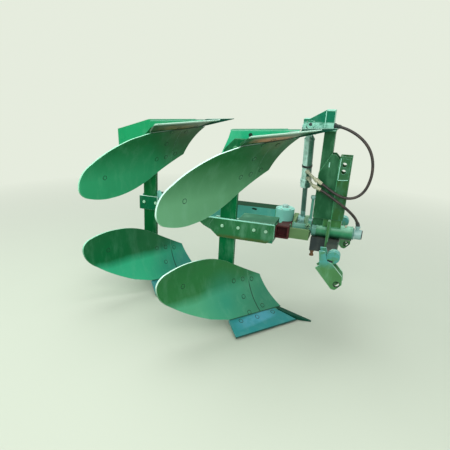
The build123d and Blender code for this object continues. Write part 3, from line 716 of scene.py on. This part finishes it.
def lifted(place, height):
    """A place so many millimetres further along its own Z."""
    return place @ Matrix.Translation((0, 0, height * MM))


def add_turned(form, place, profile, sides=32, finish=0, spin=0.0):
    """Adds a closed turned shape. The profile is (along, radius) in millimetres, along the place's Z."""
    rings = []
    turns = [spin + 2 * math.pi * step / sides for step in range(sides)]
    for along, radius in profile:
        corners = [Vector((*corner, along)) * MM for corner in arc(radius, turns)]
        rings.append([form.verts.new(place @ corner) for corner in corners])
    faces = [form.faces.new(list(reversed(rings[0]))), form.faces.new(rings[-1])]
    for low, high in zip(rings, rings[1:]):
        for step in range(sides):
            faces.append(form.faces.new((low[step - 1], low[step], high[step], high[step - 1])))
    for face in faces:
        face.material_index = finish


def add_slab(form, outline, thickness, finish=0):
    """Adds a plate from an outline of points and a thickness vector, all in the row frame."""
    near = [form.verts.new(point) for point in outline]
    far = [form.verts.new(point + thickness) for point in outline]
    faces = [form.faces.new(near), form.faces.new(list(reversed(far)))]
    for step in range(len(near)):
        faces.append(form.faces.new((near[step - 1], far[step - 1], far[step], near[step])))
    for face in faces:
        face.material_index = finish


def add_plate(form, y, outline, thickness, finish=0):
    """Adds a plate that stands in the x-z plane at y, with its outline and thickness in millimetres."""
    add_slab(form, [at(x, y, z) for x, z in outline], LEFT * thickness * MM, finish)


def add_piece(name, shape, finishes, body, place=None):
    """Puts a mesh or a curve into the scene as a piece that rides on a body."""
    for finish in finishes:
        shape.materials.append(FINISHES[finish].material)
    piece = bpy.data.objects.new(name, shape)
    bpy.context.scene.collection.objects.link(piece)
    if place:
        piece.matrix_world = place
    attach(piece, body)
    return piece


def new_piece(name, form, finishes, body, soften=0.0):
    """Turns the form into a piece that rides on a body."""
    bmesh.ops.recalc_face_normals(form, faces=form.faces)
    mesh = bpy.data.meshes.new(name)
    form.to_mesh(mesh)
    form.free()
    mesh.shade_smooth()
    mesh.set_sharp_from_angle(angle=math.radians(32))
    piece = add_piece(name, mesh, finishes, body)
    if soften:
        soften_edges(piece, soften, PIECE_EDGE_ANGLE)
    return piece


def new_curve(name, radius, roundness):
    """An empty round bead or tube, with its radius in millimetres."""
    curve = bpy.data.curves.new(name, "CURVE")
    curve.dimensions = "3D"
    curve.bevel_depth = radius * MM
    curve.bevel_resolution = roundness
    curve.use_fill_caps = True
    return curve


# Washer, head, nut and bolt end, as shares of the width across flats
WASHER_RADIUS = 0.62
WASHER_THICK = 0.11
HEAD_HEIGHT = 0.42
NUT_HEIGHT = 0.55
BOLT_RADIUS = 0.33
# How far the dark ring of a flush bolt reaches beyond its head
FLUSH_RING = 3.6


def add_hex_head(form, place, flats, height, finish=0):
    """Adds a hexagon head or nut with chamfered corners."""
    corner = flats / math.sqrt(3)
    spin = random.uniform(0, math.pi / 3)
    add_turned(form, place, ((0, corner), (height * 0.8, corner)), 6, finish, spin)
    chamfer = lifted(place, height * 0.8)
    add_turned(form, chamfer, ((0, corner), (height * 0.2, corner * 0.86)), 6, finish, spin)


def add_bolt(form, place, flats, finish=0, height=HEAD_HEIGHT):
    """Adds a hexagon bolt head on its washer, and gives the place on top of the washer."""
    radius = flats * WASHER_RADIUS
    thick = flats * WASHER_THICK
    add_turned(form, place, ((0, radius), (thick * 0.7, radius), (thick, radius - thick * 0.3)), 28, finish)
    seat = lifted(place, thick)
    add_hex_head(form, seat, flats, flats * height, finish)
    return seat


def add_nut(form, place, flats, finish=0):
    """Adds a nut on its washer, with the bolt's end through it."""
    seat = add_bolt(form, place, flats, finish, NUT_HEIGHT)
    end = flats * BOLT_RADIUS
    add_turned(form, seat, ((0, end), (flats * 0.85, end), (flats * 0.9, end * 0.85)), 16, finish)


def add_flush_bolt(form, place, radius, finish=0):
    """Adds a plough bolt's flush head, a low dome in a dark ring."""
    ring = radius + FLUSH_RING
    add_turned(form, place, ((-1.0, ring), (0.35, ring), (0.45, radius)), 28, 1)
    dome = ((-1.0, radius), (0.6, radius), (1.1, radius - 1.2), (1.5, radius * 0.6), (1.6, radius * 0.2))
    add_turned(form, place, dome, 28, finish)


def surface_of(names):
    """A ray-cast tree over some CAD nodes, which stand in the row frame."""
    corners = []
    faces = []
    for name in names:
        mesh = NODES[name].data
        first = len(corners)
        corners.extend(vertex.co.copy() for vertex in mesh.vertices)
        faces.extend([first + index for index in polygon.vertices] for polygon in mesh.polygons)
    return BVHTree.FromPolygons(corners, faces)


def struck(surface, start, way):
    """Where a ray meets a surface, and the surface's direction on the side that the ray comes from."""
    spot, normal, _, _ = surface.ray_cast(start, way)
    if spot is not None and normal.dot(way) > 0:
        normal = -normal
    return spot, normal


# Flush plough bolts in each body's own y and z, on moldboard, shin and share, and their radius
BOARD_BOLTS = ((-202, 266), (-132, 258), (-67, 240), (-182, 159), (-564, 345), (-213, 73), (-103, 82))
SHARE_BOLTS = ((-304, 50), (-200, 44), (-87, 41))
BOARD_BOLT_RADIUS = 11.5
# Nuts behind the boards are looked for from this far behind them, in metres
BEHIND_BOARD = 0.12


def board_fasteners(row, half):
    """Flush heads on the working side of one body, and their nuts behind it."""
    tail = body_name(row, half)
    names = [f"moldboard_{tail}", f"shin_{tail}", f"share_{tail}"]
    fronts = surface_of(names)
    backs = surface_of(names + [f"frog_{tail}"])
    heads = bmesh.new()
    nuts = bmesh.new()
    for y, z in BOARD_BOLTS + SHARE_BOLTS:
        spot, normal = struck(fronts, body_at(row, half, 600, y, z), -FORWARD)
        if spot is None:
            continue
        add_flush_bolt(heads, facing(spot, normal), BOARD_BOLT_RADIUS, 2 if (y, z) in SHARE_BOLTS else 0)
        back = backs.ray_cast(spot - normal * BEHIND_BOARD, normal)[0]
        if back is not None:
            add_nut(nuts, facing(back, -normal), 22)
    finishes = (f"board_{tail}", "dark_ring", f"share_{tail}")
    new_piece(f"board_bolts_{tail}", heads, finishes, "turning_frame")
    new_piece(f"board_nuts_{tail}", nuts, ("leg_bolt",), "turning_frame")


# Bolts in each body's own x and z, and the two faces of the leg's foot, in y
LEG_BOLTS = ((-112, 100), (-222, 110), (-180, 205), (-246, 300))
LEG_FACES = (-165, -135)
LANDSIDE_BOLTS = ((-236, 120), (-120, 108), (-10, 92), (-60, 52))
# How far in from the landside plane its sole reaches, and the one bolt in the web above the sole
SOLE_WIDTH = 52
WEB_BOLT = (-166, -58, 42)
# A pale strip along the sole's inner edge, in x and z
SOLE_STRIP = ((-290, 27), (109, 9), (109, 4.5), (-290, 22.5))


def body_fasteners(row, half):
    """Bolts through the leg's foot and the landside of one body."""
    tail = body_name(row, half)
    form = bmesh.new()
    for x, z in LEG_BOLTS:
        add_bolt(form, facing(body_at(row, half, x, LEG_FACES[0], z), -LEFT), 24)
        add_nut(form, facing(body_at(row, half, x, LEG_FACES[1], z), LEFT), 24)
    add_flush_bolt(form, facing(body_at(row, half, *WEB_BOLT), -LEFT), 8, 1)
    new_piece(f"leg_bolts_{tail}", form, ("leg_bolt", "dark_ring"), "turning_frame")
    form = bmesh.new()
    for x, z in LANDSIDE_BOLTS:
        add_flush_bolt(form, facing(body_at(row, half, x, 0, z), LEFT), 11)
        if z > 100:
            add_flush_bolt(form, facing(body_at(row, half, x, -12, z), -LEFT), 8, 1)
    strip = [body_at(row, half, x, -SOLE_WIDTH, z) for x, z in SOLE_STRIP]
    add_slab(form, strip, -LEFT * 0.8 * MM, 2)
    finishes = ("landside", "dark_ring", "trim")
    new_piece(f"landside_bolts_{tail}", form, finishes, "turning_frame")


# The stay between leg and moldboard in a body's own frame, and where its flange meets the board
STAY_LEG = (-243, -155, 336)
STAY_BOARD = (-352, -575, 352)
FLANGE_SEEN_FROM = (-900, -565, 347)


def stay_ends(row, half):
    """The stay's collar on the leg and its flange behind the moldboard's tail."""
    tail = body_name(row, half)
    leg_end = body_at(row, half, *STAY_LEG)
    way = (body_at(row, half, *STAY_BOARD) - leg_end).normalized()
    form = bmesh.new()
    add_turned(form, facing(leg_end + way * 0.011, way), ((0, 20), (9, 20), (16, 13)), 28)
    back = surface_of([f"moldboard_{tail}"])
    spot, normal = struck(back, body_at(row, half, *FLANGE_SEEN_FROM), FORWARD)
    if spot is not None:
        place = facing(spot, normal)
        add_turned(form, place, ((-1, 27), (8, 27), (9.5, 25)))
        add_nut(form, lifted(place, 9), 22)
    new_piece(f"stay_ends_{tail}", form, ("frame",), "turning_frame", 0.8)


# The right cheek's outer face, its thickness and its top
CHEEK_FACE = -230
CHEEK_THICK = 15
CHEEK_TOP = 659
# Bolts through the right cheek, nuts behind it and bolts through the rear clamp, along x,
# and how high both rows stand
CHEEK_BOLTS = (-273, -171, -73, -1)
INNER_NUTS = (-273, -228)
CHEEK_BOLT_Z = 616
CLAMP_BOLTS = (-977, -882)
CLAMP_BOLT_Z = 611
# The right cheek's long nose beyond its last bolt, in x and z
NOSE_OUTLINE = (
    (-329, CHEEK_TOP), (-404, CHEEK_TOP), (-426, 626), (-398, 604), (-344, 580), (-358, 616),
)


def frame_fasteners():
    """Bolts through the cheeks and the rear clamp."""
    form = bmesh.new()
    for x in CHEEK_BOLTS:
        add_bolt(form, facing(at(x, CHEEK_FACE, CHEEK_BOLT_Z), -LEFT), 16)
    for x in INNER_NUTS:
        add_nut(form, facing(at(x, -170, CHEEK_BOLT_Z), LEFT), 20)
    for x in CLAMP_BOLTS:
        add_bolt(form, facing(at(x, 83, CLAMP_BOLT_Z), -LEFT), 18)
    new_piece("cheek_bolts", form, ("bolt",), "turning_frame")


def cheek_nose():
    """The pointed end of the right cheek plate, welded on in its plane."""
    form = bmesh.new()
    add_plate(form, CHEEK_FACE, NOSE_OUTLINE, CHEEK_THICK)
    new_piece("cheek_nose", form, ("cheek",), "turning_frame", 1.0)


# The cylinder leans from its top pin towards the crank, whose eye lies this far from the pin
TOP_PIN = (157, 0, 1203)
LEAN = Vector((0, 150, -603)).normalized()
EYE_ALONG = 621.4


def on_cylinder(along):
    """A place on the cylinder's line, so many millimetres below the top pin, facing down it."""
    return facing(at(*TOP_PIN) + LEAN * along * MM, LEAN)


# The cylinder's collar, ring, gland, gland nut and wiper: where, the profile, its sides and its finish
CYLINDER_RINGS = (
    (64, ((0, 29.2), (1, 30.8), (7, 30.8), (8, 29.2)), 40, 0),
    (226, ((0, 29.2), (1, 31.2), (13, 31.2), (14, 29.2)), 40, 1),
    (318, ((0, 29.3), (2, 33.5), (15, 33.5), (17, 31.0)), 40, 0),
    (338, ((0, 33.6), (8, 34.6), (20, 34.6), (22, 32.4)), 8, 0),
    (366, ((0, 32.2), (6, 30.5), (9, 20), (12, 16.5)), 40, 1),
)


def cylinder_trim():
    """Rings and nuts round the cylinder."""
    form = bmesh.new()
    for along, profile, sides, finish in CYLINDER_RINGS:
        add_turned(form, on_cylinder(along), profile, sides, finish)
    new_piece("cylinder_trim", form, ("cylinder", "dark"), "barrel", 0.6)


# Pipes at the cylinder: where each leaves the gland, its bend, and where its hose begins
PIPES = (
    ((150, 66, 948), (221, -72, 927), (244, -72, 914)),
    ((160, 80, 905), (216, -72, 887), (240, -72, 876)),
)


def pipe_nuts():
    """Hexagon nuts on both ends of the two pipes."""
    form = bmesh.new()
    for start, bend, end in PIPES:
        way = (at(*bend) - at(*start)).normalized()
        nut = facing(at(*start) + way * 0.030, way)
        add_hex_head(form, nut, 25, 14)
        add_turned(form, lifted(nut, 14), ((0, 11), (7, 10.5), (9, 8.2)), 24)
        last = (at(*end) - at(*bend)).normalized()
        add_hex_head(form, facing(at(*end) - last * 0.016, last), 24, 13)
    new_piece("pipe_nuts", form, ("zinc",), "barrel", 0.5)


# Hoses: control points from the pipe's end to the fitting where each goes back in
UNION_HOSE = (
    (240, -72, 876), (276, -72, 859), (325, -75, 831), (377, -75, 798),
    (426, -68, 763), (463, -51, 727), (487, -25, 690), (498, 0, 654),
)
LOOP_HOSE = (
    (244, -72, 914), (279, -72, 894), (325, -75, 863), (375, -74, 837),
    (418, -69, 828), (453, -63, 834), (482, -57, 852), (505, -51, 883),
    (520, -44, 931), (525, -38, 987), (516, -33, 1049), (493, -28, 1104),
    (456, -22, 1149), (410, -15, 1183), (361, -8, 1206), (322, -2, 1217),
    (296, 0, 1221),
)
HOSE_RADIUS = 8


def ferrules(name, route):
    """The crimped ferrules at both ends of a hose."""
    profile = [(0, 9.4), (1, 11.0)]
    for groove in range(3):
        first = 3 + groove * 7
        profile += [(first, 11.2), (first + 4.5, 11.2), (first + 5.2, 10.2), (first + 6.2, 10.2)]
    profile += [(25, 11.0), (27, 9.0)]
    form = bmesh.new()
    for finish, (end, neighbour) in enumerate(((route[0], route[1]), (route[-1], route[-2]))):
        way = (at(*neighbour) - at(*end)).normalized()
        add_turned(form, facing(at(*end), way), profile, 28, finish)
    return new_piece(name, form, ("zinc", "dark"), "headstock")


def hose(name, node, route):
    """A hydraulic hose between two fittings."""
    curve = new_curve(name, HOSE_RADIUS, 5)
    curve.resolution_u = 10
    line = curve.splines.new("NURBS")
    line.points.add(len(route) - 1)
    for point, place in zip(line.points, route):
        point.co = (*at(*place), 1)
    line.order_u = 3
    line.use_endpoint_u = True
    piece = add_piece(name, curve, ("rubber",), "headstock")
    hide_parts(node)
    trim = ferrules(name + "_ferrules", route)


# The crown nut's pin, washer, hexagon and crown along the pin, and one tooth of the crown,
# as angles in shares of 60 degrees and radii
CROWN_RINGS = (
    (((-26, 18), (56, 18), (58.5, 15)), 32, 1), (((14.5, 35), (19, 35), (20, 33.5)), 40, 0),
    (((20, 37), (21, 38), (40, 38), (42, 35)), 6, 0), (((41, 29.5), (47, 29.5)), 36, 0),
)
CROWN_TOOTH = ((-0.33, 29.5), (-0.11, 29.5), (0.11, 29.5), (0.33, 29.5), (0.33, 19), (-0.33, 19))


def crown_nut():
    """The slotted nut on the eye's pin, with its split pin."""
    eye = at(*TOP_PIN) + LEAN * EYE_ALONG * MM
    form = bmesh.new()
    face = facing(eye, FORWARD)
    for profile, sides, finish in CROWN_RINGS:
        add_turned(form, face, profile, sides, finish)
    for tooth in range(6):
        outline = []
        for share, radius in CROWN_TOOTH:
            corner = arc(radius, [math.radians(60 * (tooth + share))])[0]
            outline.append(face @ (Vector((*corner, 47)) * MM))
        add_slab(form, outline, FORWARD * 10 * MM)
    across = facing(eye + Vector((0.051, 0, -0.034)), UP)
    add_turned(form, across, ((0, 2.6), (68, 2.6)), 12, 1)
    piece = new_piece("crown_nut", form, ("pale_green", "shaft_paint"), "rod", soften=0.5)
    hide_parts("eye_pin")


# The bearing tube's end rings, as x and width, its grease nipples, and the stop box's underside
END_RINGS = ((266, 7), (465, 8))
NIPPLES_X = (306, 432)
STOP_BOX_BASE = 475


def headstock_trim():
    """End rings and grease nipples of the bearing tube, and the bolts below the stop box."""
    form = bmesh.new()
    for x, width in END_RINGS:
        profile = ((0, 43.4), (1, 44.6), (width, 44.6), (width + 1, 43.4))
        add_turned(form, facing(at(x, 0, AXIS_HEIGHT), FORWARD), profile, 48)
    for x in NIPPLES_X:
        nipple = facing(at(x, -14, 640.5), (0, -0.33, 1))
        profile = ((0, 6), (6, 6), (6.5, 3.5), (10, 3.5), (11, 4.6), (14, 3.4), (15, 2))
        add_turned(form, nipple, profile, 18, 1)
    new_piece("headstock_trim", form, ("headstock", "zinc"), "headstock", 0.4)
    form = bmesh.new()
    add_hex_head(form, facing(at(292, 0, STOP_BOX_BASE), -UP), 30, 10)
    stud = facing(at(258, -36, STOP_BOX_BASE), -UP)
    add_turned(form, stud, ((0, 9), (26, 9), (27, 13), (37, 13), (38, 11)), 24, 1)
    add_hex_head(form, stud, 24, 11, 1)
    new_piece("stop_bolts", form, ("dark", "rust"), "headstock", 0.4)


# The channel's flanges, and the pads welded on both round the top link's holes: outline in x and z,
# and the holes
FLANGE_Y = 42
PAD_OUTLINE = ((347, 922), (404, 926), (404, 1048), (350, 1050))
PAD_THICK = 2.5
PAD_EDGE = 3.5
TOP_LINK_HOLES = ((373, 973), (373, 1013))
TOP_LINK_RADIUS = 13.6
# A pale tick on the right flange, behind its pad
TICK_OUTLINE = ((289, 994), (294, 994), (294, 1022), (289, 1022))


def add_loop(curve, points):
    """Adds a closed outline of (x, z) points in millimetres to a flat curve."""
    loop = curve.splines.new("POLY")
    loop.points.add(len(points) - 1)
    loop.use_cyclic_u = True
    for point, (x, z) in zip(loop.points, points):
        point.co = (x * MM, z * MM, 0, 1)


def pads():
    """A flat pad on each flange of the channel, with the top link's holes left free."""
    strips = bmesh.new()
    low_back, low_front, _, high_back = PAD_OUTLINE
    edges = ((low_back, high_back, (PAD_EDGE, 0)), (low_back, low_front, (0, PAD_EDGE)))
    for (x0, z0), (x1, z1), (dx, dz) in edges:
        outline = ((x0, z0), (x1, z1), (x1 + dx, z1 + dz), (x0 + dx, z0 + dz))
        for side in (-1, 1):
            add_plate(strips, side * (FLANGE_Y + PAD_THICK), outline, side)
    add_plate(strips, -FLANGE_Y, TICK_OUTLINE, -1.5)
    new_piece("pad_edges", strips, ("trim",), "headstock")
    for name, side in (("right", -1), ("left", 1)):
        curve = bpy.data.curves.new(f"pad_{name}", "CURVE")
        curve.dimensions = "2D"
        curve.fill_mode = "BOTH"
        curve.extrude = PAD_THICK / 2 * MM
        add_loop(curve, PAD_OUTLINE)
        for x, z in TOP_LINK_HOLES:
            hole = arc(TOP_LINK_RADIUS, [2 * math.pi * step / 32 for step in range(32)])
            add_loop(curve, [(x + across, z + up) for across, up in hole])
        middle = at(0, side * (FLANGE_Y + PAD_THICK / 2), 0)
        place = Matrix.Translation(middle) @ Matrix.Rotation(math.pi / 2, 4, "X")
        add_piece(f"pad_{name}", curve, ("pad",), "headstock", place)


# The pale strips on the bracket's near edges, which are painted highlights, as a box in x and z
BRACKET_HIGHLIGHT_STRIPS = ((236, 240, 1206, 1302), (240, 284, 1303, 1307))


def bracket_trim():
    """The ends of the top pin, the boss with a dark disc of painted shade for its hole, the edge strips of
    the bracket as painted highlights, and the nuts where hoses end.
    """
    form = bmesh.new()
    _, pin_y, pin_z = TOP_PIN
    add_turned(form, facing(at(199, pin_y, pin_z), FORWARD), ((0, 20), (4, 20), (5, 18)), 32, 1)
    add_turned(form, facing(at(115, pin_y, pin_z), -FORWARD), ((0, 20), (3, 20), (4, 18)), 32, 1)
    # A dark disc on the boss stands for its hole: painted shade
    boss = facing(at(160, -46.2, 1228), -LEFT)
    add_turned(form, boss, ((-1, 9.6), (0.4, 9.6), (0.8, 8.6)), 24, 3)
    for x0, x1, z0, z1 in BRACKET_HIGHLIGHT_STRIPS:
        add_plate(form, -36, ((x0, z0), (x1, z0), (x1, z1), (x0, z1)), -1.5, 2)
    finishes = ("bracket", "pale_steel", "trim", "dark")
    new_piece("bracket_trim", form, finishes, "headstock", 0.4)
    form = bmesh.new()
    end = at(*LOOP_HOSE[-1])
    way = (at(*LOOP_HOSE[-2]) - end).normalized()
    add_hex_head(form, facing(end - way * 0.012, way), 26, 12, 1)
    x, y, z = UNION_HOSE[-1]
    add_hex_head(form, facing(at(x, y, z - 14), UP), 26, 13)
    union = facing(at(483.5, 0, AXIS_HEIGHT), FORWARD)
    add_turned(form, union, ((0, 30.4), (1, 31.6), (7, 31.6), (8, 30.4)), 40)
    add_turned(form, lifted(union, 40), ((0, 27), (4, 27), (5.5, 25)), 36, 1)
    new_piece("hose_end_nuts", form, ("pale_steel", "dark"), "headstock", 0.5)


# The hook on the rear beam and the slot in the front one, a thin dark sheet of painted shade, in x and z, and
# the hub's middle and top
HOOK_OUTLINE = ((-890, 640), (-850, 640), (-850, 668), (-858, 690), (-872, 700), (-890, 690))
SLOT_OUTLINE = ((-176, 640), (-150, 636), (-143, 642), (-146, 649), (-172, 652), (-179, 646))
HUB_X = 41
HUB_Y = 144
HUB_TOP = 672
HUB_BOLT_CIRCLE = 51


def hub_trim():
    """Lug and small bolts on the hub and the beams, the slot's dark sheet of painted shade, and the stop
    screw's nuts with dark slits of painted shade.
    """
    form = bmesh.new()
    add_plate(form, 127.5, HOOK_OUTLINE, -10)
    add_plate(form, 127.9, SLOT_OUTLINE, -1.2, 1)
    lid = facing(at(HUB_X, HUB_Y, HUB_TOP), UP)
    add_turned(form, lid, ((-1, 44), (3, 44), (4, 42)), 40)
    add_bolt(form, lifted(lid, 4), 36, 2)
    for x, y in arc(HUB_BOLT_CIRCLE, [math.radians(angle) for angle in range(15, 375, 60)]):
        add_bolt(form, facing(at(HUB_X + x, HUB_Y + y, HUB_TOP), UP), 10, 2)
    finishes = ("hub", "dark_ring", "pale_steel")
    new_piece("hub_trim", form, finishes, "turning_frame", 0.6)
    form = bmesh.new()
    add_hex_head(form, facing(at(227, -42, 664), UP), 25, 13)
    add_hex_head(form, facing(at(227, -42, 804), UP), 25.5, 15)
    lug = facing(at(218, -58, 633), -LEFT)
    add_hex_head(form, lug, 31, 9, 1)
    add_turned(form, lifted(lug, 9), ((0, 13.5), (7, 13.5)), 32, 1)
    # Dark slits across the lug's nut: painted shade in its slots
    for turn in range(3):
        spun = lug @ Matrix.Rotation(math.pi / 3 * turn, 4, "Z")
        corners = ((-13.6, -2, 10), (13.6, -2, 10), (13.6, 2, 10), (-13.6, 2, 10))
        slit = [spun @ (Vector(corner) * MM) for corner in corners]
        add_slab(form, slit, (spun.to_3x3() @ UP) * 6.5 * MM, 2)
    finishes = ("pale_steel", "pale_green", "dark_ring")
    new_piece("screw_nuts", form, finishes, "turning_frame", 0.4)


def ripples(line):
    """Points a few millimetres apart along a line of points, each with its own small swell."""
    dots = []
    for start, end in zip(line, line[1:]):
        steps = max(2, round((end - start).length / 0.006))
        for step in range(steps):
            place = start.lerp(end, step / steps)
            jitter = Vector([random.uniform(-0.5, 0.5) for _ in range(3)]) * MM
            dots.append((place + jitter, random.uniform(0.72, 1.12)))
    dots.append((line[-1], 0.8))
    return dots


def weld(name, body, lines, radius=3.5, finish="weld"):
    """Weld beads laid along lines of points in millimetres."""
    curve = new_curve(name, radius, 1)
    for line in lines:
        dots = ripples([at(*point) for point in line])
        spline = curve.splines.new("POLY")
        spline.points.add(len(dots) - 1)
        for point, (place, swell) in zip(spline.points, dots):
            point.co = (*place, 1)
            point.radius = swell
    add_piece(name, curve, (finish,), body)


def turns_between(first, last):
    """Angles every 15 degrees from the first to the last, in radians."""
    return [math.radians(angle) for angle in range(first, last + 1, 15)]


def ring_x(x, radius, first=0, last=360):
    """Points round the turnover axis."""
    return [(x, left, AXIS_HEIGHT + up) for left, up in arc(radius, turns_between(first, last))]


def weld_headstock():
    """Beads of the headstock."""
    lines = [ring_x(329, 44.5), ring_x(346, 44.5, -60, 240)]
    for side in (-1, 1):
        lines.append([(345, side * 42.3, 686), (345, side * 42.3, 1040)])
        lines.append([(239, side * 31, 686), (239, side * 31, 958)])
        lines.append([(301, side * 31, 633.5), (329, side * 31, 633.5)])
        lines.append([(346, side * 31, 633.5), (403, side * 31, 633.5)])
        lines.append([(241, side * 31.5, 962), (299, side * 31.5, 1069)])
        for y in (side * 310, side * 376.5):
            lines.append([(344, y, 496), (406, y, 496), (406, y, 558), (344, y, 558), (344, y, 496)])
        for x in (346, 404):
            lines.append([(x, side * 76, 496), (x, side * 76, 558)])
    lines.append([(238, -31, 1195), (301, -31, 1195), (301, 31, 1195), (238, 31, 1195), (238, -31, 1195)])
    weld("headstock_welds", "headstock", lines)


def weld_frame():
    """Beads of the turning frame, and a pale bead along the right cheek's top that is a painted highlight."""
    lines = [
        [(-16, 127, z) for z in (545, 600, 655)],
        [(HUB_X + x, HUB_Y + y, 660.5) for x, y in arc(61, turns_between(120, 195))],
        [(41, -104, 640.5), (41, -149, 640.5)],
        [(119, -108, 640.5), (119, -92, 640.5)],
        [(120.5, -93, 560), (120.5, -93, 640)],
        [(-183, -214.5, 659.5), (-70, -214.5, 659.5), (40, -214.5, 659.5)],
        [(-183, -214.5, 540.5), (-70, -214.5, 540.5), (4, -214.5, 540.5)],
        ring_x(121.5, 31, 20, 200),
        [(219, -57, 628), (219, 10, 630)],
    ]
    for row, half in BODIES:
        lines.append([on_body(row, half, 42, -41.5, 48), on_body(row, half, 94, -41.5, 47.5)])
    weld("frame_welds", "turning_frame", lines)
    # The pale bead along the cheek's top edge is a painted highlight
    rim = [(x, CHEEK_FACE + CHEEK_THICK / 2, CHEEK_TOP) for x in (-396, -300, -180, -60, 46)]
    weld("cheek_rim_highlight", "turning_frame", [rim], 6.5, "trim")


# Stage: pale floor that fades into a pale backdrop, and soft light from above and from the front
FLOOR_RADIUS = 14.0
PALE = (0.79, 0.84, 0.73, 1)
FLOOR_TONE = (0.56, 0.60, 0.50, 1)
# How far out, in metres, the floor starts to fade and where it has gone
FLOOR_FADE = (1.5, 4.6)
SKY_LOW = (0.22, 0.25, 0.22, 1)
SKY_HIGH = (0.80, 0.88, 0.90, 1)
SKY_STRENGTH = 0.7
# Each lamp's name, place, width in metres, power and tint
LAMPS = (
    ("sky_panel", (-1100, 500, 4600), 4.2, 150, (0.97, 1.0, 1.0)),
    ("front_panel", (900, -3600, 3300), 2.6, 95, (1.0, 1.0, 0.97)),
    ("left_panel", (-3600, -2200, 2600), 2.0, 40, (1.0, 1.0, 0.98)),
)
LAMP_AIM = (-100, 0, 600)


def add_floor():
    """A round floor whose far part takes the backdrop's own tone."""
    mesh = bpy.data.meshes.new("floor")
    form = bmesh.new()
    bmesh.ops.create_circle(form, cap_ends=True, radius=FLOOR_RADIUS, segments=96)
    form.to_mesh(mesh)
    form.free()
    floor = bpy.data.objects.new("floor", mesh)
    bpy.context.scene.collection.objects.link(floor)
    floor.location.z = -0.0005
    s = Finish("floor_paper")
    s.surface["Base Color"].default_value = FLOOR_TONE
    s.surface["Roughness"].default_value = 0.95
    s.surface["Specular IOR Level"].default_value = 0.05
    mesh.materials.append(s.material)
    paper = s.tree.nodes["Principled BSDF"].outputs[0]
    glow = s.node("ShaderNodeEmission", {"Color": PALE, "Strength": 1.0}).outputs[0]
    fade = s.ramp(s.vector("LENGTH", s.where())["Value"], *FLOOR_FADE)
    both = s.node("ShaderNodeMixShader", {0: fade, 1: paper, 2: glow})
    s.fill(s.tree.nodes["Material Output"].inputs["Surface"], both.outputs[0])


def add_world():
    """A sky that is brighter overhead, and a plain pale backdrop for what is seen directly or mirrored."""
    world = bpy.data.worlds.new("world")
    bpy.context.scene.world = world
    world.use_nodes = True
    w = Shader(world.node_tree)
    sky = w.node("ShaderNodeTexCoord").outputs["Generated"]
    height = w.node("ShaderNodeSeparateXYZ", {0: sky}).outputs["Z"]
    light = w.mix(w.ramp(height, -0.1, 0.9), SKY_LOW, SKY_HIGH)
    plain = world.node_tree.nodes["Background"]
    w.fill(plain.inputs["Color"], light)
    plain.inputs["Strength"].default_value = SKY_STRENGTH
    seen = w.node("ShaderNodeBackground", {"Color": PALE, "Strength": 1.0})
    path = w.node("ShaderNodeLightPath").outputs
    mirrored = w.math("MAXIMUM", path["Is Glossy Ray"], path["Is Transmission Ray"])
    direct = w.math("MAXIMUM", path["Is Camera Ray"], mirrored)
    chosen = w.node("ShaderNodeMixShader", {0: direct, 1: plain.outputs[0], 2: seen.outputs[0]})
    w.fill(world.node_tree.nodes["World Output"].inputs["Surface"], chosen.outputs[0])


def add_lamps():
    """Large soft panels, all aimed at the middle of the plough."""
    for name, place, size, power, tint in LAMPS:
        lamp = bpy.data.lights.new(name, "AREA")
        lamp.shape = "SQUARE"
        lamp.size = size
        lamp.energy = power
        lamp.color = tint
        holder = bpy.data.objects.new(name, lamp)
        bpy.context.scene.collection.objects.link(holder)
        holder.location = at(*place)
        aim = at(*LAMP_AIM) - holder.location
        holder.rotation_euler = aim.to_track_quat("-Z", "Y").to_euler()


add_camera()
hose("union_hose", "hose_union", UNION_HOSE)
hose("loop_hose", "hose_loop", LOOP_HOSE)
add_floor()
add_world()
add_lamps()
dress_nodes()
for row, half in BODIES:
    board_fasteners(row, half)
    body_fasteners(row, half)
    stay_ends(row, half)
frame_fasteners()
cheek_nose()
cylinder_trim()
pipe_nuts()
crown_nut()
headstock_trim()
pads()
bracket_trim()
hub_trim()
weld_headstock()
weld_frame()

bpy.context.scene.view_settings.view_transform = "Standard"
